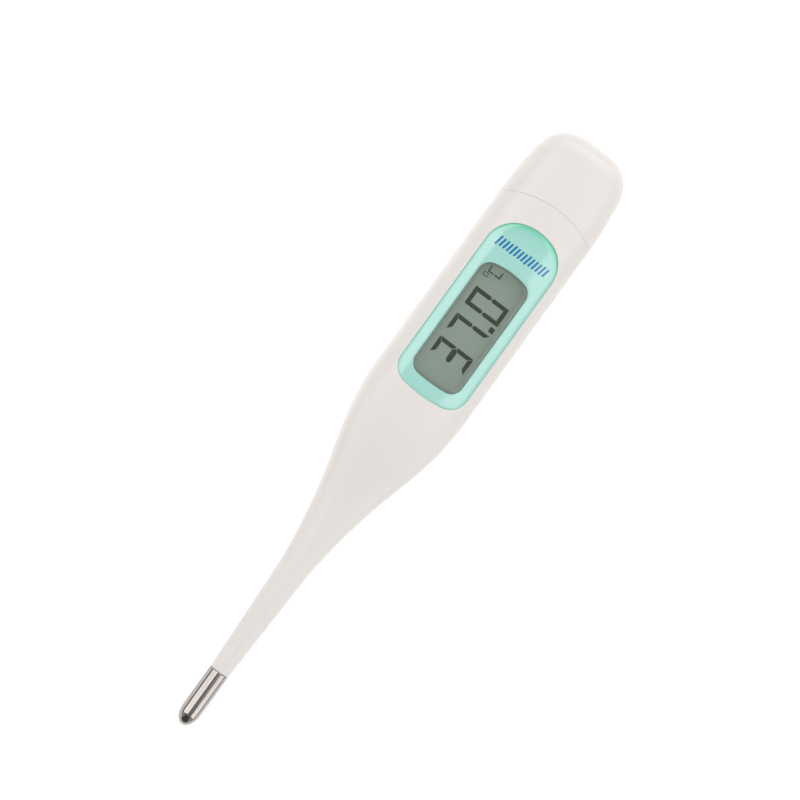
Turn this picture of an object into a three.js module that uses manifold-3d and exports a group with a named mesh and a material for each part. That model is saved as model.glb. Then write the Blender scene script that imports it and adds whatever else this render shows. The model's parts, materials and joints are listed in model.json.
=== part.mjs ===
// Digital clinical thermometer with a large display, in millimetres.
//
// Every piece is modelled lying on its back, with X measured from the steel tip towards the
// battery cap, Y across the handle towards the top of the display's figures, and Z up out of
// the display. The finished group is then moved so that its middle stands over the origin.
import * as THREE from 'three';
import { LoftGeometry } from 'three/addons/geometries/LoftGeometry.js';
import { mergeVertices } from 'three/addons/utils/BufferGeometryUtils.js';
import Module from 'manifold-3d';

// ---------------------------------------------------------------- driving dimensions

// outside
const overallLength = 132;
const handleWidth = 20;
const handleThickness = 11.5;
const backFlatCut = 0.3; // what the flat back takes off the rounded section
const capLength = 14; // from the middle of the seam to the end
const handleLength = 41.4; // full-width stretch in front of the seam
const shoulderLength = 40.6; // from the neck to the full width
const neckRadius = 3;
const seamSagitta = 2.8;
const seamGap = 0.15;
const endRoundPlan = 18; // length over which the plan view closes
const endRoundSide = 15; // length over which the side view closes

// steel tip
const tipLength = 11.9;
const tipRadius = 1.95; // at the end of the dome
const tipDraft = 0.05; // widening of the drawn tube towards its mouth
const tipDomeLength = 3.1;
const tipWall = 0.2;
const spigotLength = 6.4;
const spigotBoreRadius = 0.8;

// shell
const wall = 1.2;
const frontWall = 1.75; // over the display module
const railHeight = 0.9;
const railReach = 0.8; // how far the board lies over its rails

// display window
const windowLength = 37.5;
const windowWidth = 15.2;
const windowToSeam = 5.2;
const windowFrontCorner = 3.8;
const windowFrontArc = 24;
const windowRearCorner = 6.3;
const windowRearArc = 10;
const recessDepth = 1.2;
const ledgeWidth = 1;
const gasketThickness = 0.15;
const viewSideBorder = 2.25; // frame beside the view
const viewFrontBorder = 3; // frame on the probe's side of the view
const viewRearBorder = 9; // frame on the cap's side of the view
const viewCorner = 2.5;
const viewFrontArc = 30;
const viewRearArc = 15;
const paneFlangeWidth = 0.6;
const paneFlangeThickness = 0.5;

// display module
const polariserThickness = 0.2;
const polariserMargin = 0.8;
const glassThickness = 0.55;
const glassEndMargin = 2;
const glassSideMargin = 1.35;
const contactLedge = 1.9; // strip of the front glass that the rear glass leaves free
const zebraWidth = 1.4;
const zebraEndInset = 1.5;
const holderWall = 0.8;
const holderStand = 1.85; // from the board to the display's underside
const holderLip = 1.1; // what the display rests on
const holderRimDrop = 0.8; // from the front glass down to the holder's rim

// circuit board and what it carries
const boardThickness = 0.8;
const boardCorner = 0.8;
const boardAhead = 4; // in front of the window
const boardToSeam = 5;
const globRadius = 3.6;
const globHeight = 1.3;
const globBehindWindowFront = 20;
const capacitorSize = [2, 1.25, 0.8];
const capacitorOffset = 4.5;
const resistorSize = [3.2, 1.6, 0.6];
const resistorOffset = 4.6;
const resistorBehindWindowFront = 27;
const switchSize = [4.4, 3.6, 1];
const switchDomeRadius = 1.5;
const switchDomeHeight = 0.7;
const wireRadius = 0.14;
const wireSpacing = 0.6;
const wireLanding = 2.2; // how far the wires reach over the board
const wireSpread = 2.5;
const beadRadius = 0.65;
const beadLength = 1.8;
const pottingSocketRadius = 0.78;
const pottingNose = 2.1; // solid resin in front of the socket

// sounder
const beeperRadius = 6;
const beeperThickness = 0.15;
const ceramicRadius = 4.5;
const ceramicThickness = 0.15;
const beeperBehindWindowFront = 9;
const leafThickness = 0.2;
const leafWidth = 2;
const leafReach = 5.5;

// power button, on the back
const buttonRadius = 3.2;
const buttonFit = 0.08;
const buttonRecess = 0.3;
const buttonFlange = 0.7;
const buttonFlangeThickness = 0.7;
const buttonStemRadius = 1.3;
const buttonToSeam = 13;
const buttonCrown = 0.12;

// battery
const cellDiameter = 7.9;
const cellHeight = 3.6;
const cellRim = 0.5; // step between the cell's two poles
const cellToSeam = 4.4;
const cellFit = 0.12;
const trayWall = 1.3;
const trayFloor = 1;
const trayForkLength = 3;
const contactThickness = 0.25;
const contactWidth = 2.4;
const contactFoot = 1.8;
const ejectorWidth = 3;

// cap plug and its seal
const plugLength = 4.6;
const plugFit = 0.1;
const plugWall = 0.85;
const sealWidth = 1;
const sealDepth = 0.45;
const sealStand = 0.04; // how far the seal stands out of the plug
const sealSetback = 0.6;

// clearances
const layGap = 0.02; // between pieces stacked face to face
const jointGap = 0.05; // between pieces assembled side by side
const windowFit = 0.1; // round the window frame
const slideFit = 0.1; // round what is pushed into a slot

// fineness
const outerPoints = 32;
const innerPoints = 24;
const roundSegments = 24;
const arcSegments = 4;

// ---------------------------------------------------------------- derived stations

const halfWidth = handleWidth / 2;
const midHeight = (handleThickness - backFlatCut) / 2;
const halfDepth = (handleThickness + backFlatCut) / 2;
const seam = overallLength - capLength;
const handleStart = seam - handleLength;
const shoulderStart = handleStart - shoulderLength;
const junctionRadius = tipRadius + tipDraft;

const windowEnd = seam - windowToSeam;
const windowStart = windowEnd - windowLength;
const viewEnd = windowEnd - viewRearBorder;
const viewStart = windowStart + viewFrontBorder;
const viewWidth = windowWidth - 2 * viewSideBorder;

const ceiling = handleThickness - frontWall;
const recessFloor = handleThickness - recessDepth;
const polariserTop = ceiling - 2 * jointGap;
const glassTop = polariserTop - polariserThickness - layGap;
const rearGlassTop = glassTop - glassThickness - layGap;
const reflectorTop = rearGlassTop - glassThickness - layGap;
const displayBottom = reflectorTop - polariserThickness;
const glassStart = viewStart - glassEndMargin;
const glassEnd = viewEnd + glassEndMargin;
const glassHalf = viewWidth / 2 + glassSideMargin;

const boardTop = displayBottom - holderStand;
const boardBottom = boardTop - boardThickness;
const boardStart = windowStart - boardAhead;
const boardEnd = seam - boardToSeam;
const boardHalf = glassHalf + slideFit + holderWall;

const switchBottom = boardBottom - layGap - switchSize[2];
const domeBottom = switchBottom - layGap - switchDomeHeight;
const buttonX = seam - buttonToSeam;

const beeperX = windowStart + beeperBehindWindowFront;
const beeperBottom = wall + jointGap;
const ceramicBottom = beeperBottom + beeperThickness + layGap;
const ceramicTop = ceramicBottom + ceramicThickness;

const cellX = seam + cellToSeam;
const cellRadius = cellDiameter / 2;
const cellBottom = midHeight - cellHeight / 2;
const cellTop = cellBottom + cellHeight;
const trayTop = cellTop - 2 * jointGap;
const trayFloorTop = cellBottom - contactThickness - 2 * jointGap;
const trayBottom = trayFloorTop - trayFloor;
const trayStart = boardEnd - trayForkLength;
const trayHalf = cellRadius + cellFit + trayWall;

const plugStart = seam - plugLength;
const plugInset = wall + plugFit;
const plugBoreInset = plugInset + plugWall;
const mouthStart = plugStart - 3 * jointGap;
const sealStart = plugStart + sealSetback;

// ---------------------------------------------------------------- solids

const wasm = await Module();
wasm.setup();

// A three.js geometry as a solid that can be joined and cut.
function solid(geometry) {
	const bare = new THREE.BufferGeometry();
	bare.setAttribute('position', geometry.getAttribute('position'));
	bare.setIndex(geometry.index);
	const merged = mergeVertices(bare, 1e-4);
	return new wasm.Manifold(new wasm.Mesh({
		numProp: 3,
		vertProperties: merged.attributes.position.array,
		triVerts: new Uint32Array(merged.index.array),
	}));
}

// The three.js geometry of a solid.
function geometryOf(body) {
	const mesh = body.getMesh();
	const geometry = new THREE.BufferGeometry();
	geometry.setAttribute('position', new THREE.BufferAttribute(mesh.vertProperties, 3));
	geometry.setIndex(new THREE.BufferAttribute(mesh.triVerts, 1));
	return geometry;
}

function box(x, y, z) {
	const geometry = new THREE.BoxGeometry(x[1] - x[0], y[1] - y[0], z[1] - z[0]);
	geometry.translate((x[0] + x[1]) / 2, (y[0] + y[1]) / 2, (z[0] + z[1]) / 2);
	return solid(geometry);
}

// A plan outline raised from one height to another.
function prism(shape, bottom, top) {
	const options = { depth: top - bottom, bevelEnabled: false, curveSegments: arcSegments };
	const geometry = new THREE.ExtrudeGeometry(shape, options);
	geometry.translate(0, 0, bottom);
	return solid(geometry);
}

// A side outline in X and Z, given a width and centred across the handle.
function plate(shape, width) {
	const geometry = new THREE.ExtrudeGeometry(shape, { depth: width, bevelEnabled: false });
	geometry.translate(0, 0, -width / 2);
	geometry.rotateX(Math.PI / 2);
	return solid(geometry);
}

// A profile of [distance along X, radius] turned round the probe's axis.
function turnedAlong(profile) {
	const points = profile.map(([x, radius]) => new THREE.Vector2(radius, x));
	const geometry = new THREE.LatheGeometry(points, roundSegments);
	geometry.rotateZ(-Math.PI / 2);
	geometry.translate(0, 0, midHeight);
	return solid(geometry);
}

// A profile of [radius, height] turned round an upright axis.
function turnedUp(profile, x, y = 0) {
	const points = profile.map(([radius, height]) => new THREE.Vector2(radius, height));
	const geometry = new THREE.LatheGeometry(points, roundSegments);
	geometry.rotateX(Math.PI / 2);
	geometry.translate(x, y, 0);
	return solid(geometry);
}

function disc(radius, bottom, top, x, y = 0) {
	return turnedUp([[0, bottom], [radius, bottom], [radius, top], [0, top]], x, y);
}

// ---------------------------------------------------------------- the outer form

// The height of a curve over a place x, for a curve that runs forwards along x.
function over(curve, x) {
	let low = 0;
	let high = 1;
	for (let step = 0; step < 40; step += 1) {
		const middle = (low + high) / 2;
		if (curve.getPoint(middle).x < x) low = middle;
		else high = middle;
	}
	return curve.getPoint(high).y;
}

function bezier(...points) {
	return new THREE.CubicBezierCurve(...points.map(([x, y]) => new THREE.Vector2(x, y)));
}

// The sweep from the neck out to the handle, for its width or its depth.
function shoulderCurve(size) {
	const lead = 0.56 * shoulderLength;
	const tail = 0.375 * shoulderLength;
	return bezier(
		[shoulderStart, neckRadius],
		[shoulderStart + lead, neckRadius + 0.32 * (size - neckRadius)],
		[handleStart - tail, size],
		[handleStart, size],
	);
}

// The rounding at the cap end, drawn in by an inset.
function endCurve(size, length, fullness, inset) {
	const start = overallLength - length;
	const end = overallLength - inset;
	return bezier(
		[start, size - inset],
		[start + 0.815 * (end - start), size - inset],
		[end, fullness * (size - inset)],
		[end, 0],
	);
}

const planShoulder = shoulderCurve(halfWidth);
const sideShoulder = shoulderCurve(halfDepth);

// Half the width or half the depth of the form at x, drawn in by an inset.
function reach(x, inset, shoulder, size, endLength, fullness) {
	if (x <= shoulderStart) {
		const t = (x - tipLength) / (shoulderStart - tipLength);
		return THREE.MathUtils.lerp(junctionRadius, neckRadius, t) - inset;
	}
	if (x < handleStart) return over(shoulder, x) - inset;
	if (x <= overallLength - endLength) return size - inset;
	return over(endCurve(size, endLength, fullness, inset), x);
}

const planReach = (x, inset) => reach(x, inset, planShoulder, halfWidth, endRoundPlan, 0.9);
const sideReach = (x, inset) => reach(x, inset, sideShoulder, halfDepth, endRoundSide, 0.85);

// The section at x: round on the probe, and a squarer superellipse on the handle.
function section(x, inset, count, lowest, highest) {
	const squareness = THREE.MathUtils.smoothstep(x, shoulderStart, handleStart);
	const power = 2 / (2 + 2 * squareness);
	const width = planReach(x, inset);
	const depth = sideReach(x, inset);
	const points = [];
	for (let i = 0; i < count; i += 1) {
		const angle = 2 * Math.PI * i / count;
		const across = Math.cos(angle);
		const up = Math.sin(angle);
		const y = width * Math.sign(across) * Math.abs(across) ** power;
		const z = midHeight + depth * Math.sign(up) * Math.abs(up) ** power;
		points.push(new THREE.Vector3(x, y, THREE.MathUtils.clamp(z, lowest, highest)));
	}
	return points;
}

// The form between two stations, drawn in by an inset and flat at the back.
function form(start, end, inset, count, highest = handleThickness) {
	const stations = stationsBetween(start, end, inset);
	const sections = stations.map((x) => section(x, inset, count, inset, highest));
	return solid(new LoftGeometry(sections, { capStart: true, capEnd: true }));
}

// Places along X where the form needs a section: close together where it curves.
function stationsBetween(start, end, inset) {
	const stations = [shoulderStart, handleStart, overallLength - endRoundPlan];
	const shoulderSteps = 11;
	for (let i = 1; i < shoulderSteps; i += 1) {
		stations.push(shoulderStart + shoulderLength * i / shoulderSteps);
	}
	const endSteps = 12;
	const lastStep = 0.96;
	const rounding = endCurve(halfWidth, endRoundPlan, 0.9, inset);
	for (let i = 1; i <= endSteps; i += 1) {
		stations.push(rounding.getPoint(lastStep * i / endSteps).x);
	}
	const spacing = 0.3;
	const inside = stations.filter((x) => x > start + spacing && x < end - spacing / 3);
	return [start, ...inside.sort((a, b) => a - b), end];
}

// Everything on the probe's side of the arched seam.
function beforeSeam(gap) {
	const half = 0.7 * handleWidth;
	const radius = (halfWidth ** 2 + seamSagitta ** 2) / (2 * seamSagitta) + gap;
	const centre = seam - radius + gap;
	const turn = Math.asin(half / radius);
	const shape = new THREE.Shape();
	shape.moveTo(-1, -half);
	shape.lineTo(centre, -half);
	shape.absarc(centre, 0, radius, -turn, turn, false);
	shape.lineTo(-1, half);
	const options = { depth: handleThickness + 2, bevelEnabled: false, curveSegments: 16 };
	const geometry = new THREE.ExtrudeGeometry(shape, options);
	geometry.translate(0, 0, -1);
	return solid(geometry);
}

// An outline with straight sides, rounded corners and slightly arched ends.
function archedOutline(start, end, width, front, rear, grow = 0) {
	const half = width / 2 + grow;
	const corner = (radius, arc) => {
		const inner = radius + grow;
		const outer = arc + grow;
		const offset = Math.sqrt((outer - inner) ** 2 - (half - inner) ** 2);
		return { inner, outer, offset, turn: Math.asin((half - inner) / (outer - inner)) };
	};
	const a = corner(...front);
	const b = corner(...rear);
	const rearArc = end + grow - b.outer;
	const frontArc = start - grow + a.outer;
	const rearX = rearArc + b.offset;
	const frontX = frontArc - a.offset;
	const rearY = half - b.inner;
	const frontY = half - a.inner;
	const shape = new THREE.Shape();
	shape.moveTo(frontX, -half);
	shape.lineTo(rearX, -half);
	shape.absarc(rearX, -rearY, b.inner, -Math.PI / 2, -b.turn, false);
	shape.absarc(rearArc, 0, b.outer, -b.turn, b.turn, false);
	shape.absarc(rearX, rearY, b.inner, b.turn, Math.PI / 2, false);
	shape.lineTo(frontX, half);
	shape.absarc(frontX, frontY, a.inner, Math.PI / 2, Math.PI - a.turn, false);
	shape.absarc(frontArc, 0, a.outer, Math.PI - a.turn, Math.PI + a.turn, false);
	shape.absarc(frontX, -frontY, a.inner, Math.PI + a.turn, 1.5 * Math.PI, false);
	return shape;
}

const windowOutline = (grow) => archedOutline(
	windowStart, windowEnd, windowWidth,
	[windowFrontCorner, windowFrontArc], [windowRearCorner, windowRearArc], grow,
);
const viewOutline = (grow) => archedOutline(
	viewStart, viewEnd, viewWidth,
	[viewCorner, viewFrontArc], [viewCorner, viewRearArc], grow,
);

// ---------------------------------------------------------------- housing

const wholeForm = form(tipLength + jointGap, overallLength, 0, outerPoints);
const aboveForm = handleThickness + 1;

// Two rails inside the shell that carry the board's edges.
function boardRails() {
	const top = boardBottom - jointGap;
	const inner = boardHalf - railReach;
	const start = windowStart + 2;
	const end = plugStart - 1;
	const left = box([start, end], [inner, halfWidth], [top - railHeight, top]);
	const right = box([start, end], [-halfWidth, -inner], [top - railHeight, top]);
	return left.add(right).intersect(wholeForm);
}

function bodyShell() {
	const spigotRadius = tipRadius - tipWall - jointGap;
	const spigotStart = tipLength - spigotLength;
	const probeRoot = tipLength + 3;
	const spigot = turnedAlong([
		[spigotStart, 0], [spigotStart, spigotRadius], [probeRoot, spigotRadius], [probeRoot, 0],
	]);
	const boreEnd = tipLength + 1;
	const bore = turnedAlong([
		[0, 0], [0, spigotBoreRadius], [boreEnd, spigotBoreRadius], [boreEnd, 0],
	]);
	const cavity = form(tipLength + 0.5, mouthStart + 0.1, wall, innerPoints, ceiling);
	const mouth = form(mouthStart, seam + 1, wall, outerPoints);
	const recess = prism(windowOutline(0), recessFloor, aboveForm);
	const opening = prism(windowOutline(-ledgeWidth), ceiling - 1, aboveForm);
	const buttonHole = disc(buttonRadius + buttonFit, -1, wall + 1, buttonX);
	const beeperSeat = disc(beeperRadius + slideFit, wall, wall + 1, beeperX);
	return wholeForm.intersect(beforeSeam(0)).add(spigot)
		.subtract(bore).subtract(cavity).subtract(mouth)
		.add(boardRails())
		.subtract(recess).subtract(opening).subtract(buttonHole).subtract(beeperSeat);
}

function batteryCap() {
	const rootEnd = seam + 2;
	const hollowEnd = overallLength - wall;
	const plug = form(plugStart, rootEnd + 1, plugInset, outerPoints);
	const plugBore = form(plugStart - 1, rootEnd + 0.1, plugBoreInset, outerPoints);
	const hollow = form(rootEnd, hollowEnd, wall, innerPoints);
	const groove = form(sealStart - jointGap, sealStart + sealWidth + jointGap, wall / 2, outerPoints)
		.subtract(form(sealStart - 1, sealStart + sealWidth + 1, plugInset + sealDepth, outerPoints));
	return wholeForm.subtract(beforeSeam(seamGap)).add(plug)
		.subtract(plugBore).subtract(hollow).subtract(groove);
}

function capSealRing() {
	const inner = plugInset + sealDepth - jointGap;
	return form(sealStart, sealStart + sealWidth, plugInset - sealStand, outerPoints)
		.subtract(form(sealStart - 1, sealStart + sealWidth + 1, inner, outerPoints));
}

// ---------------------------------------------------------------- display window

const frameUnderside = recessFloor + gasketThickness + 2 * layGap;
const plugBottom = ceiling + jointGap;
const flangeTop = plugBottom + paneFlangeThickness;

function windowFrame() {
	const rim = prism(windowOutline(-windowFit), frameUnderside, aboveForm);
	const boss = prism(windowOutline(-ledgeWidth - windowFit), plugBottom, aboveForm);
	const view = prism(viewOutline(0), plugBottom - 1, aboveForm);
	const rebate = prism(viewOutline(paneFlangeWidth), plugBottom - 1, flangeTop + jointGap);
	return rim.add(boss).intersect(wholeForm).subtract(view).subtract(rebate);
}

function displayPane() {
	const top = prism(viewOutline(-jointGap), plugBottom, aboveForm);
	const flange = prism(viewOutline(paneFlangeWidth - jointGap), plugBottom, flangeTop);
	return top.add(flange).intersect(wholeForm);
}

function windowGasket() {
	const bottom = recessFloor + layGap;
	return prism(windowOutline(-2 * windowFit), bottom, bottom + gasketThickness)
		.subtract(prism(windowOutline(-ledgeWidth + windowFit / 2), bottom - 1, aboveForm));
}

// ---------------------------------------------------------------- display module

function polariser() {
	const half = viewWidth / 2 + polariserMargin;
	const x = [viewStart - polariserMargin, viewEnd + polariserMargin];
	return box(x, [-half, half], [polariserTop - polariserThickness, polariserTop]);
}

function frontGlass() {
	return box([glassStart, glassEnd], [-glassHalf, glassHalf], [glassTop - glassThickness, glassTop]);
}

function rearGlass() {
	const y = [-glassHalf + contactLedge, glassHalf];
	return box([glassStart, glassEnd], y, [rearGlassTop - glassThickness, rearGlassTop]);
}

function reflector() {
	const y = [-glassHalf + contactLedge, glassHalf];
	return box([glassStart, glassEnd], y, [displayBottom, reflectorTop]);
}

function zebraConnector() {
	const x = [glassStart + zebraEndInset, glassEnd - zebraEndInset];
	const outer = -glassHalf + layGap + (contactLedge - zebraWidth) / 2;
	return box(x, [outer, outer + zebraWidth], [boardTop + layGap, rearGlassTop]);
}

// A frame on the board with a pocket for the glass and a slot for the contact strip.
function lcdHolder() {
	const pocketHalf = glassHalf + slideFit;
	const pocketX = [glassStart - slideFit, glassEnd + slideFit];
	const outerX = [pocketX[0] - holderWall, pocketX[1] + holderWall];
	const rim = glassTop - holderRimDrop;
	const innerX = [glassStart + holderLip, glassEnd - holderLip];
	return box(outerX, [-boardHalf, boardHalf], [boardTop + layGap, rim])
		.subtract(box(pocketX, [-pocketHalf, pocketHalf], [displayBottom - layGap, rim + 1]))
		.subtract(box(innerX, [-glassHalf, glassHalf - holderLip], [boardTop - 1, rim]));
}

// ---------------------------------------------------------------- board and electronics

function circuitBoard() {
	const nearlyStraight = 1000;
	const end = [boardCorner, nearlyStraight];
	const outline = archedOutline(boardStart, boardEnd, 2 * boardHalf, end, end);
	return prism(outline, boardBottom, boardTop);
}

function controllerGlob() {
	const top = boardBottom - layGap;
	const profile = [[0, top - globHeight]];
	const steps = 5;
	for (let i = 1; i <= steps; i += 1) {
		const angle = Math.PI / 2 * i / steps;
		profile.push([globRadius * Math.sin(angle), top - globHeight * Math.cos(angle)]);
	}
	profile.push([0, top]);
	return turnedUp(profile, windowStart + globBehindWindowFront);
}

function capacitor(side) {
	const [length, width, height] = capacitorSize;
	const start = glassEnd + slideFit + holderWall + 3 * slideFit;
	const bottom = boardTop + layGap;
	const middle = side * capacitorOffset;
	return box(
		[start, start + length], [middle - width / 2, middle + width / 2], [bottom, bottom + height],
	);
}

function referenceResistor() {
	const [length, width, height] = resistorSize;
	const x = windowStart + resistorBehindWindowFront;
	const top = boardBottom - layGap;
	return box(
		[x - length / 2, x + length / 2],
		[resistorOffset - width / 2, resistorOffset + width / 2],
		[top - height, top],
	);
}

function switchBase() {
	const [length, width, height] = switchSize;
	const x = [buttonX - length / 2, buttonX + length / 2];
	return box(x, [-width / 2, width / 2], [switchBottom, switchBottom + height]);
}

// A shallow snap dome, closed below by its own thickness.
function switchDome() {
	const top = switchBottom - layGap;
	const profile = [[0, domeBottom]];
	const steps = 5;
	for (let i = 1; i <= steps; i += 1) {
		const t = i / steps;
		profile.push([switchDomeRadius * t, top - switchDomeHeight * (1 - t ** 2)]);
	}
	profile.push([0, top]);
	return turnedUp(profile, buttonX);
}

// ---------------------------------------------------------------- sounder

// A bent strip: its middle line in X and Z, its thickness and its width.
function bentStrip(path, thickness, width) {
	const line = path.map(([x, z]) => new THREE.Vector2(x, z));
	const side = (sign) => line.map((point, i) => {
		const before = line[Math.max(i - 1, 0)];
		const after = line[Math.min(i + 1, line.length - 1)];
		const in_ = point.clone().sub(before).normalize();
		const out = after.clone().sub(point).normalize();
		const along = in_.add(out).normalize();
		const shift = new THREE.Vector2(-along.y, along.x).multiplyScalar(sign * thickness / 2);
		return point.clone().add(shift);
	});
	return plate(new THREE.Shape([...side(-1), ...side(1).reverse()]), width);
}

function beeperContact() {
	const half = leafThickness / 2;
	const high = boardBottom - layGap - half;
	const low = ceramicTop + layGap + half;
	const foot = beeperX + leafReach;
	const path = [[foot + 1.6, high], [foot, high], [beeperX + 1.2, low], [beeperX - 0.6, low]];
	return bentStrip(path, leafThickness, leafWidth);
}

// ---------------------------------------------------------------- sensor

// The steel tip's outline, drawn in by an inset, as [x, radius] from the axis outwards.
function tipDome(inset) {
	const points = [[inset, 0]];
	const steps = 8;
	for (let i = 1; i <= steps; i += 1) {
		const angle = Math.PI / 2 * i / steps;
		points.push([
			tipDomeLength - (tipDomeLength - inset) * Math.cos(angle),
			(tipRadius - inset) * Math.sin(angle),
		]);
	}
	return points;
}

function probeTip() {
	const mouth = tipLength;
	return turnedAlong([
		...tipDome(0),
		[mouth, junctionRadius],
		[mouth, junctionRadius - tipWall],
		...tipDome(tipWall).reverse(),
	]);
}

function tipPotting() {
	const rear = tipLength - spigotLength - 2 * jointGap;
	const inset = tipWall + jointGap;
	return turnedAlong([
		...tipDome(inset),
		[rear, tipRadius - inset],
		[rear, pottingSocketRadius],
		[pottingNose, pottingSocketRadius],
		[pottingNose, 0],
	]);
}

function thermistorBead() {
	const start = pottingNose + jointGap;
	const profile = [];
	const steps = 4;
	const straight = beadLength - 2 * beadRadius;
	for (let i = 0; i <= steps; i += 1) {
		const angle = Math.PI / 2 * i / steps;
		profile.push([start + beadRadius * (1 - Math.cos(angle)), beadRadius * Math.sin(angle)]);
	}
	for (let i = 0; i <= steps; i += 1) {
		const angle = Math.PI / 2 * (1 - i / steps);
		const x = start + beadRadius + straight + beadRadius * Math.cos(angle);
		profile.push([x, beadRadius * Math.sin(angle)]);
	}
	return turnedAlong(profile);
}

// A wire from the thermistor through the probe, up on to the board.
function sensorWire(side) {
	const start = pottingNose + beadLength + 3 * jointGap;
	const y = side * wireSpacing / 2;
	const landing = boardTop + layGap + wireRadius;
	const curve = new THREE.CatmullRomCurve3([
		new THREE.Vector3(start, y, midHeight),
		new THREE.Vector3(shoulderStart, y, midHeight),
		new THREE.Vector3(shoulderStart + 0.5 * shoulderLength, 2 * y, midHeight),
		new THREE.Vector3(boardStart - 4, side * wireSpread * 0.7, landing),
		new THREE.Vector3(boardStart - 1, side * wireSpread, landing),
		new THREE.Vector3(boardStart + wireLanding, side * wireSpread, landing),
	], false, 'centripetal');
	const ring = new THREE.Shape();
	ring.absarc(0, 0, wireRadius, 0, 2 * Math.PI, false);
	const options = { steps: 24, curveSegments: 4, bevelEnabled: false, extrudePath: curve };
	return solid(new THREE.ExtrudeGeometry(ring, options));
}

// ---------------------------------------------------------------- power button

function powerButton() {
	const inside = wall + 2 * jointGap;
	const flangeTopZ = inside + buttonFlangeThickness;
	const stemTop = domeBottom - jointGap;
	const face = buttonRecess;
	return turnedUp([
		[0, face],
		[buttonRadius - 2 * buttonCrown, face],
		[buttonRadius, face + buttonCrown],
		[buttonRadius, inside],
		[buttonRadius + buttonFlange, inside],
		[buttonRadius + buttonFlange, flangeTopZ],
		[buttonStemRadius, flangeTopZ],
		[buttonStemRadius, stemTop],
		[0, stemTop],
	], buttonX);
}

// ---------------------------------------------------------------- battery

// A cradle round the cell, with a fork that grips the end of the board.
function batteryTray() {
	const outline = new THREE.Shape();
	outline.moveTo(trayStart, -trayHalf);
	outline.lineTo(boardEnd, -trayHalf);
	outline.absarc(cellX, 0, trayHalf, -Math.PI / 2, Math.PI / 2, false);
	outline.lineTo(trayStart, trayHalf);
	const options = { depth: trayTop - trayBottom, bevelEnabled: false, curveSegments: 10 };
	const block = new THREE.ExtrudeGeometry(outline, options);
	block.translate(0, 0, trayBottom);
	const channelHalf = contactWidth / 2 + 3 * slideFit;
	const channel = box([trayStart - 1, cellX], [-channelHalf, channelHalf], [trayFloorTop, trayTop + 1]);
	const pocket = disc(cellRadius + cellFit, trayFloorTop, trayTop + 1, cellX);
	const board = box(
		[trayStart - 1, boardEnd + slideFit],
		[-boardHalf, boardHalf],
		[boardBottom - slideFit, boardTop + slideFit],
	);
	const ejector = box(
		[cellX, cellX + 2 * trayHalf],
		[-ejectorWidth / 2, ejectorWidth / 2],
		[trayFloorTop + contactThickness, trayTop + 1],
	);
	return solid(block).subtract(channel).subtract(pocket).subtract(board).subtract(ejector);
}

// The smaller pole faces the tray's floor.
function buttonCell() {
	const poleHeight = 0.3;
	const bevel = 0.25;
	return turnedUp([
		[0, cellBottom],
		[cellRadius - cellRim - bevel, cellBottom],
		[cellRadius - cellRim, cellBottom + poleHeight],
		[cellRadius - bevel, cellBottom + poleHeight],
		[cellRadius, cellBottom + poleHeight + bevel],
		[cellRadius, cellTop - bevel],
		[cellRadius - bevel, cellTop],
		[0, cellTop],
	], cellX);
}

function contactNegative() {
	const half = contactThickness / 2;
	const high = boardBottom - layGap - half;
	const low = trayFloorTop + layGap + half;
	const bend = boardEnd - trayForkLength + 1;
	return bentStrip([
		[bend - contactFoot, high],
		[bend, high],
		[boardEnd + 1.2, low],
		[cellX + 1.5, low],
	], contactThickness, contactWidth);
}

function contactPositive() {
	const half = contactThickness / 2;
	const low = boardTop + layGap + half;
	const high = cellTop + layGap + half;
	const bend = boardEnd - trayForkLength + 1;
	return bentStrip([
		[bend - contactFoot, low],
		[bend, low],
		[boardEnd + 3, high],
		[cellX + 1.5, high],
	], contactThickness, contactWidth);
}

// ---------------------------------------------------------------- assembly

const whitePlastic = { color: 0xe6e2dc, roughness: 0.35, metalness: 0 };
const mintPlastic = { color: 0xa3dbcd, roughness: 0.15, metalness: 0 };
const clearPlastic = {
	color: 0xdfe8e2, roughness: 0.08, metalness: 0, transparent: true, opacity: 0.3,
};
const lcdGrey = { color: 0x889387, roughness: 0.5, metalness: 0 };
const glass = { color: 0xb9c6bd, roughness: 0.1, metalness: 0, transparent: true, opacity: 0.5 };
const foil = { color: 0xb8bab4, roughness: 0.4, metalness: 0.6 };
const greyRubber = { color: 0x6d7174, roughness: 0.8, metalness: 0 };
const steel = { color: 0xc9c5c1, roughness: 0.15, metalness: 1 };
const spring = { color: 0xc8c6be, roughness: 0.3, metalness: 1 };
const brass = { color: 0xc39a4a, roughness: 0.3, metalness: 1 };
const ceramic = { color: 0xe8e4da, roughness: 0.6, metalness: 0 };
const laminate = { color: 0x2f6b46, roughness: 0.5, metalness: 0 };
const blackResin = { color: 0x1c1c1e, roughness: 0.3, metalness: 0 };
const clearResin = { color: 0x8d7a52, roughness: 0.3, metalness: 0 };
const tan = { color: 0xb59b74, roughness: 0.5, metalness: 0 };
const innerPlastic = { color: 0xd9d8d2, roughness: 0.5, metalness: 0 };
const redWire = { color: 0xa3402f, roughness: 0.4, metalness: 0 };
const copperWire = { color: 0xb8743c, roughness: 0.3, metalness: 0.6 };

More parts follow.
